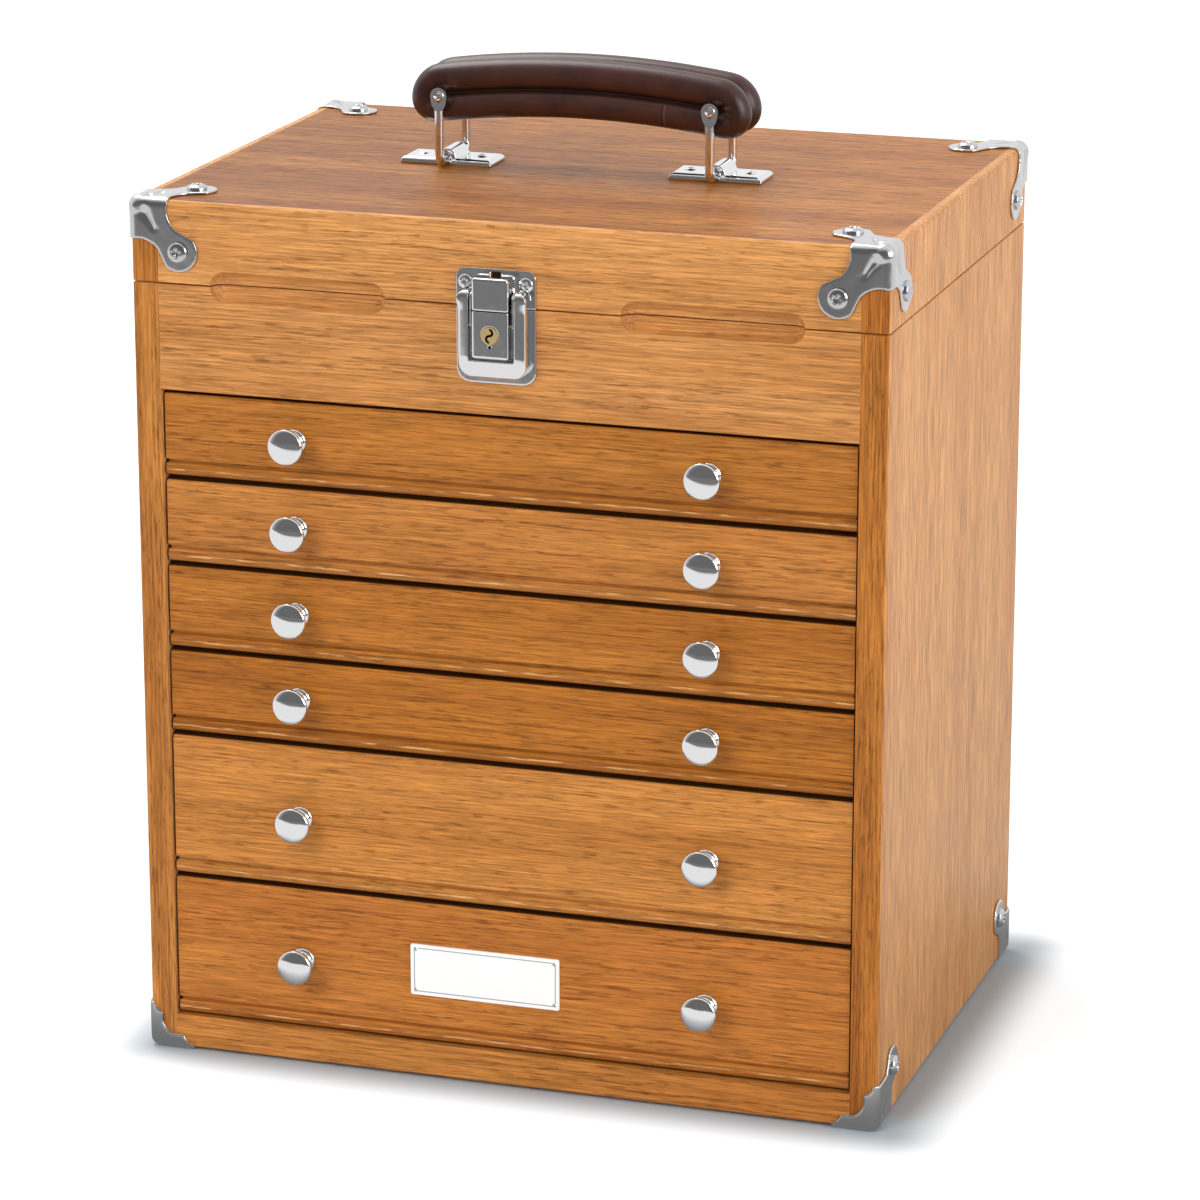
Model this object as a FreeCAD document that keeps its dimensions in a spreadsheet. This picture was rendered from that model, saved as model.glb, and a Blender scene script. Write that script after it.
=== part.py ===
import FreeCAD
import Part
import Sketcher
import math
import os
from FreeCAD import Vector

# Top tool chest: an oak veneered case with six drawers and a till under a hinged lid.
# X runs to the right, Y to the back and Z up. The origin is on the floor, at the middle of the plan.

doc = FreeCAD.newDocument("top_tool_chest")
sheet = doc.addObject("Spreadsheet::Sheet", "sizes")

SIZES = {
    # Case and lid, wood to wood
    "case_width": 330,
    "case_depth": 236,
    "side_wall": 12,
    "front_wall": 12,
    "back_wall": 9,
    "base_wall": 9,
    "wood_radius": 2,
    "seam_radius": 0.6,
    "seam_gap": 0.5,
    "rail_height": 15,
    "till_front_height": 46.4,
    "till_floor_wall": 5,
    "felt_thickness": 1.5,
    "lid_height": 35.3,
    "lid_panel": 8,
    "lid_side_lip": 4.5,
    "lid_front_lip": 2.6,
    # Finger scoops across the lid seam
    "scoop_length": 78.6,
    "scoop_centre": 90.4,
    "scoop_radius": 6.6,
    "scoop_offset": 0.9,
    # Drawers
    "deep_pitch": 64.8,
    "shallow_pitch": 38,
    "drawer_gap": 1.2,
    "drawer_side_gap": 1,
    "drawer_recess": 1.5,
    "drawer_front": 10,
    "drawer_top_radius": 2.4,
    "bead_height": 6,
    "bead_radius": 2.6,
    "bead_shoulder": 1.8,
    "groove_width": 1.4,
    "groove_depth": 2,
    "groove_radius": 0.6,
    "box_side": 8,
    "box_back": 8,
    "box_rear_gap": 11.5,
    "box_bottom": 3,
    "box_bottom_lift": 3,
    "box_foot_gap": 2,
    "box_head_gap": 4,
    "runner_height": 6,
    "runner_reach": 5,
    "runner_front_gap": 15.5,
    "runner_lift": 12,
    "runner_play": 0.2,
    # Knobs
    "knob_spacing": 182.4,
    "knob_lift": 1.1,
    "deep_knob_drop": 2,
    "knob_reach": 13.5,
    "knob_head_radius": 7.9,
    "knob_head_rim": 3,
    "knob_dome": 1.6,
    "knob_neck_radius": 3.6,
    "knob_flange_radius": 5.6,
    "knob_flange": 2,
    "knob_stud_radius": 2,
    "knob_screw_radius": 4,
    "knob_screw_head": 2.2,
    "bore_play": 0.1,
    # Nameplate
    "plate_width": 67.4,
    "plate_height": 23,
    "plate_thickness": 0.8,
    "plate_offset": -9.8,
    "plate_lift": 32.8,
    "plate_corner": 0.8,
    "plate_pin_inset": 2.2,
    "plate_pin_radius": 0.9,
    "plate_pin_head": 0.5,
    # Pressed corner brackets
    "corner_metal": 1.2,
    "corner_radius": 4,
    "collar_length": 17.2,
    "lobe_place": 21.6,
    "lobe_radius": 8.7,
    "foot_leg": 20,
    "foot_step": 5.8,
    "foot_cusp": 3.5,
    "bulge_place": 3.6,
    "bulge_rise": 0.6,
    "valley_radius": 4,
    "valley_depth": 0.6,
    # Dome head screws
    "screw_head_radius": 4.4,
    "screw_head_height": 2.3,
    "screw_shank_radius": 1.6,
    "small_head_radius": 3.1,
    "small_head_height": 1.6,
    # Hinges
    "hinge_spacing": 190,
    "hinge_width": 38,
    "hinge_leaf": 1.1,
    "hinge_leaf_depth": 8,
    "hinge_offset": 2.6,
    "hinge_knuckle_radius": 2.5,
    "hinge_pin_radius": 1.25,
    "hinge_play": 0.05,
    "knuckle_play": 0.2,
    "hinge_screw_radius": 2.4,
    "hinge_screw_inset": 8,
    # Latch
    "fitting_offset": -2.2,
    "latch_width": 34.7,
    "latch_metal": 1,
    "strike_height": 16,
    "strike_corner": 4,
    "hood_width": 16.1,
    "hood_height": 13.6,
    "hood_reach": 9.4,
    "hood_radius": 1.2,
    "hood_slot_width": 5,
    "hood_slot_height": 0.9,
    "hood_slot_lift": 14.4,
    "strike_screw_spacing": 26.4,
    "strike_screw_lift": 10.2,
    "latch_base_height": 31.9,
    "latch_base_corner": 6,
    "lock_height": 20,
    "plug_radius": 3.7,
    "plug_length": 6,
    "plug_drop": 9.8,
    "plug_stand": 0.4,
    "keyway_width": 1,
    "keyway_depth": 3,
    "tell_tale_radius": 0.7,
    "tell_tale_drop": 4.9,
    "lever_width": 30.2,
    "lever_depth": 6.8,
    "lever_rise": 8.4,
    "lever_drop": 29.5,
    "lever_window": 19.8,
    "lever_bar": 8.6,
    "lever_corner": 8,
    "lever_wall": 1,
    "lever_play": 0.2,
    "ear_thickness": 0.8,
    "ear_play": 0.3,
    "pivot_radius": 1,
    "pivot_play": 0.08,
    "latch_screw_spacing": 15,
    "latch_screw_drop": 25.2,
    "latch_head_radius": 2.5,
    "latch_head_height": 1.3,
    # Handle
    "bail_spacing": 121.8,
    "bail_width": 34,
    "bail_wire": 4,
    "bail_bend": 3.5,
    "bail_axis": 2.5,
    "eye_lift": 29.1,
    "eye_radius": 3.7,
    "eye_thickness": 2.2,
    "eye_neck": 6.5,
    "rivet_radius": 1.6,
    "rivet_head_radius": 2.5,
    "rivet_head": 0.8,
    "mount_length": 41.4,
    "mount_width": 20,
    "mount_height": 3,
    "mount_bevel": 2.4,
    "mount_hump_radius": 4.6,
    "mount_screw_place": 13.5,
    "mount_screw_radius": 2.6,
    "mount_screw_head": 0.8,
    "grip_length": 153,
    "grip_thickness": 29,
    "grip_height": 26,
    "grip_arch": 4.2,
    "grip_edge_radius": 9.5,
    "crease_width": 3.2,
    "crease_depth": 2.6,
    "grip_bore_play": 0.4,
    # One overrun for every cut
    "overrun": 1,
}

SHALLOW_DRAWERS = 4
DEEP_DRAWERS = 2
HINGE_KNUCKLES = 5

for row, (alias, number) in enumerate(SIZES.items(), start=1):
    sheet.set(f"A{row}", alias)
    sheet.set(f"B{row}", str(number))
    sheet.setAlias(f"B{row}", alias)
doc.recompute()


class Dim:
    """A length from the sheet: its number in millimetres and the expression that gives it."""

    def __init__(self, number, text):
        self.number = number
        self.text = text

    def __float__(self):
        return float(self.number)

    def __neg__(self):
        return Dim(-self.number, f"(-{self.text})")

    def __add__(self, other):
        return Dim(self.number + float(other), f"({self.text} + {text_of(other)})")

    def __radd__(self, other):
        return Dim(float(other) + self.number, f"({text_of(other)} + {self.text})")

    def __sub__(self, other):
        return Dim(self.number - float(other), f"({self.text} - {text_of(other)})")

    def __rsub__(self, other):
        return Dim(float(other) - self.number, f"({text_of(other)} - {self.text})")

    def __mul__(self, factor):
        return Dim(self.number * float(factor), f"({self.text} * {text_of(factor)})")

    def __rmul__(self, factor):
        return self * factor

    def __truediv__(self, factor):
        return Dim(self.number / float(factor), f"({self.text} / {text_of(factor)})")


def text_of(value):
    """The expression text of a length, or of a plain factor or zero."""
    return value.text if isinstance(value, Dim) else repr(value)


class Sheet:
    """Reads a named size from the sheet as a Dim."""

    def __getattr__(self, alias):
        return Dim(float(sheet.get(alias)), f"sizes.{alias}")


S = Sheet()
NONE = Dim(0.0, "0")

# Places shared by many pieces, worked out from the sheet
half_width = S.case_width / 2
inner_half = half_width - S.side_wall
hinge_reach = S.hinge_offset + S.hinge_knuckle_radius
front = (S.knob_reach - S.drawer_recess - hinge_reach - S.case_depth) / 2
back = front + S.case_depth
floor = S.corner_metal
rail_top = floor + S.rail_height
stack_height = S.deep_pitch * DEEP_DRAWERS + S.shallow_pitch * SHALLOW_DRAWERS
till_base = rail_top + stack_height
case_top = till_base + S.till_front_height
lid_base = case_top + S.seam_gap
lid_crown = lid_base + S.lid_height
seam = case_top + S.seam_gap / 2
hinge_axis_y = back + S.hinge_offset
deck_y = front + S.case_depth / 2

sub_parts = []


def keep(feature, label):
    """Names a finished sub-part and adds it to the list that is exported."""
    feature.Label = label
    sub_parts.append(feature)
    return feature


def bind(feature, **properties):
    """Binds properties to lengths, with a double underscore for a dot in the property's path."""
    for name, length in properties.items():
        feature.setExpression(name.replace("__", "."), text_of(length))


def place(feature, x=NONE, y=NONE, z=NONE):
    """Binds the place of a feature to lengths."""
    bind(feature, Placement__Base__x=x, Placement__Base__y=y, Placement__Base__z=z)


def new_body(name):
    return doc.addObject("PartDesign::Body", name)


def new_sketch(body, role, offset=None):
    """Adds a sketch on one of the body's own origin planes, lifted by offset along its normal."""
    sketch = body.newObject("Sketcher::SketchObject", body.Name + "_sketch")
    plane = [item for item in body.Origin.OriginFeatures if item.Role == role][0]
    sketch.AttachmentSupport = (plane, [""])
    sketch.MapMode = "FlatFace"
    if offset is not None:
        bind(sketch, AttachmentOffset__Base__z=offset)
    return sketch


def fix_point(sketch, geometry, end, place_x, place_y):
    """Holds one point of a sketch at two lengths from the sketch's origin."""
    for kind, length in (("DistanceX", place_x), ("DistanceY", place_y)):
        index = sketch.addConstraint(
            Sketcher.Constraint(kind, -1, 1, geometry, end, float(length)))
        name = f"{kind}_{geometry}_{end}"
        sketch.renameConstraint(index, name)
        sketch.setExpression(f"Constraints.{name}", text_of(length))


def outline(sketch, corners):
    """Draws a closed outline of straight lines through the corners, each held by its lengths."""
    count = len(corners)
    points = [Vector(float(across), float(up), 0) for across, up in corners]
    for index in range(count):
        line = Part.LineSegment(points[index], points[(index + 1) % count])
        sketch.addGeometry(line, False)
    for index in range(count):
        following = (index + 1) % count
        sketch.addConstraint(Sketcher.Constraint("Coincident", index, 2, following, 1))
    for index in range(count):
        fix_point(sketch, index, 1, *corners[index])
    return sketch


def circles(sketch, centres, radius):
    """Draws circles of one radius at the given centres."""
    for place_x, place_y in centres:
        centre = Vector(float(place_x), float(place_y), 0)
        index = sketch.addGeometry(Part.Circle(centre, Vector(0, 0, 1), float(radius)), False)
        fix_point(sketch, index, 3, place_x, place_y)
        held = sketch.addConstraint(Sketcher.Constraint("Radius", index, float(radius)))
        name = f"radius_{index}"
        sketch.renameConstraint(held, name)
        sketch.setExpression(f"Constraints.{name}", text_of(radius))
    return sketch


def settle(body, feature):
    """Recomputes the document and stops at once if the new feature didn't come out."""
    doc.recompute()
    if "Invalid" in feature.State or body.Shape.isNull():
        raise RuntimeError(f"{body.Name}: {feature.Name} failed")
    return feature


def pad(body, sketch, length, backwards=False):
    feature = body.newObject("PartDesign::Pad", body.Name + "_pad")
    feature.Profile = sketch
    feature.Reversed = backwards
    bind(feature, Length=length)
    return settle(body, feature)


def pocket(body, sketch, length, backwards=False):
    """Cuts a sketch out of the body and makes sure that the cut takes material away."""
    doc.recompute()
    before = body.Shape.Volume
    feature = body.newObject("PartDesign::Pocket", body.Name + "_pocket")
    feature.Profile = sketch
    feature.Reversed = backwards
    bind(feature, Length=length)
    settle(body, feature)
    if not body.Shape.Volume < before:
        raise RuntimeError(f"{body.Name}: a pocket cut nothing")
    return feature


def revolve(body, sketch):
    """Turns a sketch on the XZ plane a full turn about the upright axis."""
    feature = body.newObject("PartDesign::Revolution", body.Name + "_revolution")
    feature.Profile = sketch
    feature.ReferenceAxis = (sketch, ["V_Axis"])
    feature.Angle = 360
    return settle(body, feature)


SAME_PLACE_SHARE = 1e-5


def near(one, other):
    """Whether two places are the same but for rounding, judged against the case."""
    return abs(float(one) - float(other)) < float(S.case_width) * SAME_PLACE_SHARE


def edges_on(shape, planes):
    """Names the straight edges that lie on two of the given planes, each an axis and a place."""
    names = []
    for index, edge in enumerate(shape.Edges, start=1):
        ends = [vertex.Point for vertex in edge.Vertexes]
        if len(ends) < 2:
            continue
        held = [pair for pair in planes if all(near(end[pair[0]], pair[1]) for end in ends)]
        if len(held) >= 2:
            names.append(f"Edge{index}")
    return names


def fillet(body, names, radius):
    feature = body.newObject("PartDesign::Fillet", body.Name + "_fillet")
    feature.Base = (feature.BaseFeature, names)
    bind(feature, Radius=radius)
    return settle(body, feature)


def board(name, width, depth, height):
    """A body that is one block, with its low corner at the body's origin."""
    body = new_body(name)
    sketch = new_sketch(body, "XY_Plane")
    outline(sketch, [(NONE, NONE), (width, NONE), (width, depth), (NONE, depth)])
    pad(body, sketch, height)
    return body


def round_board(body, planes, radius):
    fillet(body, edges_on(body.Shape, planes), radius)


def primitive_box(name, length, width, height, x, y, z):
    box = doc.addObject("Part::Box", name)
    bind(box, Length=length, Width=width, Height=height)
    place(box, x, y, z)
    return box


def primitive_rod(name, radius, length, x, y, z, axis):
    """A round bar that starts at a place and runs along the positive X, Y or Z axis."""
    rod = doc.addObject("Part::Cylinder", name)
    bind(rod, Radius=radius, Height=length)
    turn = {"X": (Vector(0, 1, 0), 90), "Y": (Vector(1, 0, 0), -90), "Z": (Vector(0, 0, 1), 0)}
    rod.Placement.Rotation = FreeCAD.Rotation(*turn[axis])
    place(rod, x, y, z)
    return rod


def compound(label, pieces):
    group = doc.addObject("Part::Compound", label)
    group.Links = pieces
    return keep(group, label)


def cut(name, base, tools):
    """Cuts one tool, or several fused tools, out of a base."""
    tool = tools[0]
    if len(tools) > 1:
        tool = doc.addObject("Part::MultiFuse", name + "_tools")
        tool.Shapes = tools
    feature = doc.addObject("Part::Cut", name)
    feature.Base = base
    feature.Tool = tool
    return feature


def shaped(label, shape):
    """A sub-part whose form is made directly from the sheet's numbers."""
    feature = doc.addObject("Part::Feature", label)
    feature.Shape = shape
    feature.Placement = FreeCAD.Placement()
    return keep(feature, label)


# Case panels
def case_side(label, sign):
    """A side panel, rounded on the edges that show, square where it meets the other panels."""
    body = board(label, S.side_wall, S.case_depth, case_top - floor)
    outer = 0.0 if sign < 0 else S.side_wall
    shown = [(0, outer), (1, 0.0), (1, S.case_depth), (2, 0.0)]
    round_board(body, shown, S.wood_radius)
    rim = [(2, case_top - floor), (0, outer), (1, 0.0), (1, S.case_depth)]
    seam_edges = [name for name in edges_on(body.Shape, rim) if at_height(body, name, case_top - floor)]
    fillet(body, seam_edges, S.seam_radius)
    place(body, -half_width if sign < 0 else inner_half, front, floor)
    return keep(body, label)


def at_height(body, name, height):
    edge = body.Shape.getElement(name)
    return all(near(vertex.Point.z, height) for vertex in edge.Vertexes)


case_side("side_left", -1)
case_side("side_right", 1)

inner_width = inner_half * 2


def hinge_mortise(name, level, x):
    """The shallow pocket for one hinge leaf, as a tool that is cut from a back panel."""
    leaf_play = S.hinge_play * 2
    return primitive_box(name, S.hinge_width + leaf_play, S.hinge_leaf_depth + S.hinge_play + S.overrun,
                         leaf_seat + S.overrun, x - S.hinge_width / 2 - S.hinge_play,
                         back - S.hinge_leaf_depth - S.hinge_play, level)


# How deep each leaf lies in the wood, so that the two leaves almost meet in the seam
leaf_seat = S.hinge_leaf + S.hinge_play - S.seam_gap / 2
hinge_places = (-S.hinge_spacing / 2, S.hinge_spacing / 2)

back_board = board("back_board", inner_width, S.back_wall, case_top - floor)
round_board(back_board, [(1, S.back_wall), (2, 0.0)], S.wood_radius)
round_board(back_board, [(1, S.back_wall), (2, case_top - floor)], S.seam_radius)
place(back_board, -inner_half, back - S.back_wall, floor)
case_mortises = []
for count, hinge_x in enumerate(hinge_places, start=1):
    case_mortises.append(hinge_mortise(f"case_mortise_{count}", case_top - leaf_seat, hinge_x))
keep(cut("back_panel", back_board, case_mortises), "back_panel")

base = board("base_panel", inner_width, S.case_depth - S.front_wall - S.back_wall, S.base_wall)
place(base, -inner_half, front + S.front_wall, rail_top - S.base_wall)
keep(base, "base_panel")

rail = board("front_rail", inner_width, S.front_wall, S.rail_height)
round_board(rail, [(1, 0.0), (2, 0.0)], S.wood_radius)
round_board(rail, [(1, 0.0), (2, S.rail_height)], S.seam_radius)
place(rail, -inner_half, front, floor)
keep(rail, "front_rail")


def scoop(name, x):
    """A long finger scoop across the lid seam: a round cove with ball ends."""
    straight = S.scoop_length - S.scoop_radius * 2
    level_y = front - S.scoop_offset
    rod = primitive_rod(name + "_rod", S.scoop_radius, straight, x - straight / 2, level_y, seam, "X")
    tools = [rod]
    for count, end in enumerate((-straight / 2, straight / 2), start=1):
        ball = doc.addObject("Part::Sphere", f"{name}_ball_{count}")
        bind(ball, Radius=S.scoop_radius)
        place(ball, x + end, level_y, seam)
        tools.append(ball)
    return tools


scoop_tools = scoop("scoop_left", -S.scoop_centre) + scoop("scoop_right", S.scoop_centre)
till_front_rise = S.till_front_height - S.drawer_gap / 2
till_board = board("till_board", inner_width, S.front_wall, till_front_rise)
round_board(till_board, [(1, 0.0), (2, 0.0)], S.seam_radius)
round_board(till_board, [(1, 0.0), (2, till_front_rise)], S.seam_radius)
place(till_board, -inner_half, front, case_top - till_front_rise)
keep(cut("till_front", till_board, scoop_tools), "till_front")

till_floor_level = till_base + S.drawer_gap / 2
till_floor = board("till_floor", inner_width, S.case_depth - S.front_wall - S.back_wall, S.till_floor_wall)
place(till_floor, -inner_half, front + S.front_wall, till_floor_level)
keep(till_floor, "till_floor")
till_felt = board("till_felt", inner_width, S.case_depth - S.front_wall - S.back_wall, S.felt_thickness)
place(till_felt, -inner_half, front + S.front_wall, till_floor_level + S.till_floor_wall)
keep(till_felt, "till_felt")


# Lid panels
def lid_side(label, sign):
    """A lid end with a stopped rabbet that carries the top panel."""
    body = board(label, S.side_wall, S.case_depth, S.lid_height)
    low = S.lid_side_lip if sign < 0 else NONE
    high = S.side_wall if sign < 0 else S.side_wall - S.lid_side_lip
    rabbet = new_sketch(body, "XY_Plane", S.lid_height)
    near_y = S.lid_front_lip
    far_y = S.case_depth - S.lid_front_lip
    outline(rabbet, [(low, near_y), (high, near_y), (high, far_y), (low, far_y)])
    pocket(body, rabbet, S.lid_panel)
    outer = 0.0 if sign < 0 else S.side_wall
    shown = [(0, outer), (1, 0.0), (1, S.case_depth), (2, S.lid_height)]
    corner_edges = []
    for name in edges_on(body.Shape, shown):
        edge = body.Shape.getElement(name)
        middle = edge.CenterOfMass
        on_x = near(middle.x, outer)
        on_y = near(middle.y, 0.0) or near(middle.y, S.case_depth)
        on_z = near(middle.z, S.lid_height)
        if on_x + on_y + on_z >= 2:
            corner_edges.append(name)
    fillet(body, corner_edges, S.wood_radius)
    rim = [(2, 0.0), (0, outer), (1, 0.0), (1, S.case_depth)]
    seam_edges = [name for name in edges_on(body.Shape, rim) if at_height(body, name, 0.0)]
    fillet(body, seam_edges, S.seam_radius)
    place(body, -half_width if sign < 0 else inner_half, front, lid_base)
    return keep(body, label)


lid_side("lid_side_left", -1)
lid_side("lid_side_right", 1)


def lid_rail(name, wall, outer_y):
    """A lid front or back with a rabbet along its inner top edge; its outer face is at outer_y."""
    body = new_body(name)
    sketch = new_sketch(body, "YZ_Plane")
    shoulder = S.lid_height - S.lid_panel
    if near(outer_y, 0.0):
        lip = S.lid_front_lip
        outline(sketch, [(NONE, NONE), (wall, NONE), (wall, shoulder), (lip, shoulder),
                         (lip, S.lid_height), (NONE, S.lid_height)])
    else:
        lip = wall - S.lid_front_lip
        outline(sketch, [(NONE, NONE), (wall, NONE), (wall, S.lid_height), (lip, S.lid_height),
                         (lip, shoulder), (NONE, shoulder)])
    pad(body, sketch, inner_width)
    round_board(body, [(1, outer_y), (2, S.lid_height)], S.wood_radius)
    round_board(body, [(1, outer_y), (2, 0.0)], S.seam_radius)
    return body


lid_front_board = lid_rail("lid_front_board", S.front_wall, NONE)
place(lid_front_board, -inner_half, front, lid_base)
lid_scoops = scoop("lid_scoop_left", -S.scoop_centre) + scoop("lid_scoop_right", S.scoop_centre)
keep(cut("lid_front", lid_front_board, lid_scoops), "lid_front")

lid_back_board = lid_rail("lid_back_board", S.back_wall, S.back_wall)
place(lid_back_board, -inner_half, back - S.back_wall, lid_base)
lid_mortises = []
for count, hinge_x in enumerate(hinge_places, start=1):
    lid_mortises.append(hinge_mortise(f"lid_mortise_{count}", lid_base - S.overrun, hinge_x))
keep(cut("lid_back", lid_back_board, lid_mortises), "lid_back")

top_width = S.case_width - S.lid_side_lip * 2
lid_top = board("lid_top", top_width, S.case_depth - S.lid_front_lip * 2, S.lid_panel)
place(lid_top, -top_width / 2, front + S.lid_front_lip, lid_crown - S.lid_panel)
keep(lid_top, "lid_top")

# Drawers, counted from the top
drawer_width = inner_width - S.drawer_side_gap * 2
knob_places = (S.fitting_offset - S.knob_spacing / 2, S.fitting_offset + S.knob_spacing / 2)
box_half = drawer_width / 2
box_front_y = front + S.drawer_recess + S.drawer_front
box_room = back - S.back_wall - box_front_y
box_length = box_room - S.box_rear_gap
runner_length = box_room - S.runner_front_gap


# Steps of the knob's outline, as shares of its flange, its rim, its head radius and its dome
FLANGE_EDGE_SHARE = 0.6
NECK_END_SHARE = 0.5
RIM_STEP_SHARES = (0.4, 0.8)
HEAD_STEP_SHARES = (0.8, 0.9, 0.6)
DOME_STEP_SHARE = 0.35


def knob_profile(body):
    """One knob with its stud and the screw head inside the drawer, turned about the upright axis."""
    sketch = new_sketch(body, "XZ_Plane")
    grip = S.drawer_front
    rim_back = S.knob_reach - S.knob_dome - S.knob_head_rim
    outline(sketch, [
        (NONE, -grip - S.knob_screw_head),
        (S.knob_screw_radius, -grip - S.knob_screw_head),
        (S.knob_screw_radius, -grip),
        (S.knob_stud_radius, -grip),
        (S.knob_stud_radius, NONE),
        (S.knob_flange_radius, NONE),
        (S.knob_flange_radius, S.knob_flange * FLANGE_EDGE_SHARE),
        (S.knob_neck_radius, S.knob_flange),
        (S.knob_neck_radius, rim_back - S.knob_flange * NECK_END_SHARE),
        (S.knob_head_radius * HEAD_STEP_SHARES[0], rim_back),
        (S.knob_head_radius, rim_back + S.knob_head_rim * RIM_STEP_SHARES[0]),
        (S.knob_head_radius, rim_back + S.knob_head_rim * RIM_STEP_SHARES[1]),
        (S.knob_head_radius * HEAD_STEP_SHARES[1], S.knob_reach - S.knob_dome),
        (S.knob_head_radius * HEAD_STEP_SHARES[2], S.knob_reach - S.knob_dome * DOME_STEP_SHARE),
        (NONE, S.knob_reach),
    ])
    return revolve(body, sketch)


def drawer_front(label, height, level, knob_rise):
    """A drawer front with a rounded top edge and a bead under a narrow groove along its foot."""
    body = new_body(label)
    sketch = new_sketch(body, "YZ_Plane")
    groove_top = S.bead_height + S.groove_width
    outline(sketch, [
        (NONE, NONE), (S.drawer_front, NONE), (S.drawer_front, height), (NONE, height),
        (NONE, groove_top), (S.groove_depth, groove_top),
        (S.groove_depth, S.bead_height), (NONE, S.bead_height),
    ])
    pad(body, sketch, drawer_width)
    round_board(body, [(1, 0.0), (2, height)], S.drawer_top_radius)
    round_board(body, [(1, 0.0), (2, 0.0)], S.bead_radius)
    round_board(body, [(1, 0.0), (2, S.bead_height)], S.bead_shoulder)
    round_board(body, [(1, 0.0), (2, groove_top)], S.groove_radius)
    studs = new_sketch(body, "XZ_Plane")
    half = drawer_width / 2
    centres = [(half + knob_x, knob_rise) for knob_x in knob_places]
    circles(studs, centres, S.knob_stud_radius + S.bore_play)
    pocket(body, studs, S.drawer_front)
    place(body, -half, front + S.drawer_recess, level)
    return keep(body, label)


def drawer_box(number, level, height):
    """The box behind a front: two grooved sides, a back and a bottom, each its own solid."""
    name = f"drawer_{number}"
    foot = level + S.box_foot_gap
    rise = height - S.box_foot_gap - S.box_head_gap
    pieces = []
    groove_height = S.runner_height + S.runner_play * 2
    groove_reach = S.runner_reach - S.drawer_side_gap + S.runner_play
    for side, outer, groove_x in (
            ("left", -box_half, -box_half - S.overrun),
            ("right", box_half - S.box_side, box_half - groove_reach)):
        board_box = primitive_box(f"{name}_{side}_blank", S.box_side, box_length, rise,
                                  outer, box_front_y, foot)
        groove = primitive_box(f"{name}_{side}_groove", groove_reach + S.overrun,
                               box_length + S.overrun, groove_height, groove_x,
                               box_front_y, level + S.runner_lift - S.runner_play)
        pieces.append(cut(f"{name}_{side}", board_box, [groove]))
    clear_width = drawer_width - S.box_side * 2
    pieces.append(primitive_box(f"{name}_back", clear_width, S.box_back, rise,
                                -clear_width / 2, box_front_y + box_length - S.box_back, foot))
    pieces.append(primitive_box(f"{name}_bottom", clear_width, box_length - S.box_back, S.box_bottom,
                                -clear_width / 2, box_front_y, foot + S.box_bottom_lift))
    compound(f"{name}_box", pieces)


def knob_pair(number, level):
    """Two knobs on one drawer, as turned copies of the knob profile."""
    knobs = []
    for count, knob_x in enumerate(knob_places, start=1):
        knob = doc.addObject("PartDesign::Body", f"drawer_{number}_knob_{count}")
        knob_profile(knob)
        knob.Placement.Rotation = FreeCAD.Rotation(Vector(1, 0, 0), 90)
        place(knob, knob_x, front + S.drawer_recess, level)
        knobs.append(knob)
    compound(f"drawer_{number}_knobs", knobs)


runners = []
drawer_level = till_base
for number in range(1, SHALLOW_DRAWERS + DEEP_DRAWERS + 1):
    pitch = S.shallow_pitch if number <= SHALLOW_DRAWERS else S.deep_pitch
    drawer_level = drawer_level - pitch
    front_level = drawer_level + S.drawer_gap / 2
    front_height = pitch - S.drawer_gap
    knob_rise = front_height / 2 + S.knob_lift
    if number > SHALLOW_DRAWERS:
        knob_rise = knob_rise - S.deep_knob_drop
    drawer_front(f"drawer_{number}_front", front_height, front_level, knob_rise)
    drawer_box(number, front_level, front_height)
    knob_pair(number, front_level + knob_rise)
    for count, runner_x in enumerate((-inner_half, inner_half - S.runner_reach), start=1):
        runners.append(primitive_box(
            f"runner_{number}_{count}", S.runner_reach, runner_length, S.runner_height,
            runner_x, back - S.back_wall - runner_length, front_level + S.runner_lift))
compound("drawer_runners", runners)

# Nameplate on the bottom drawer, with nothing on it
plate_level = rail_top + S.drawer_gap / 2 + S.plate_lift
plate = new_body("nameplate")
plate_sketch = new_sketch(plate, "XZ_Plane")
half_plate = S.plate_width / 2
half_rise = S.plate_height / 2
outline(plate_sketch, [(-half_plate, -half_rise), (half_plate, -half_rise),
                       (half_plate, half_rise), (-half_plate, half_rise)])
pad(plate, plate_sketch, S.plate_thickness)
pin_x = half_plate - S.plate_pin_inset
pin_z = half_rise - S.plate_pin_inset
round_board(plate, [(0, -half_plate), (0, half_plate), (2, -half_rise), (2, half_rise)], S.plate_corner)
pin_holes = new_sketch(plate, "XZ_Plane")
pin_corners = [(pin_x * sign_x, pin_z * sign_z) for sign_x in (-1, 1) for sign_z in (-1, 1)]
circles(pin_holes, pin_corners, S.plate_pin_radius / 2 + S.bore_play)
pocket(plate, pin_holes, S.plate_thickness, True)
place(plate, S.plate_offset, front + S.drawer_recess, plate_level)
keep(plate, "nameplate")


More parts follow.
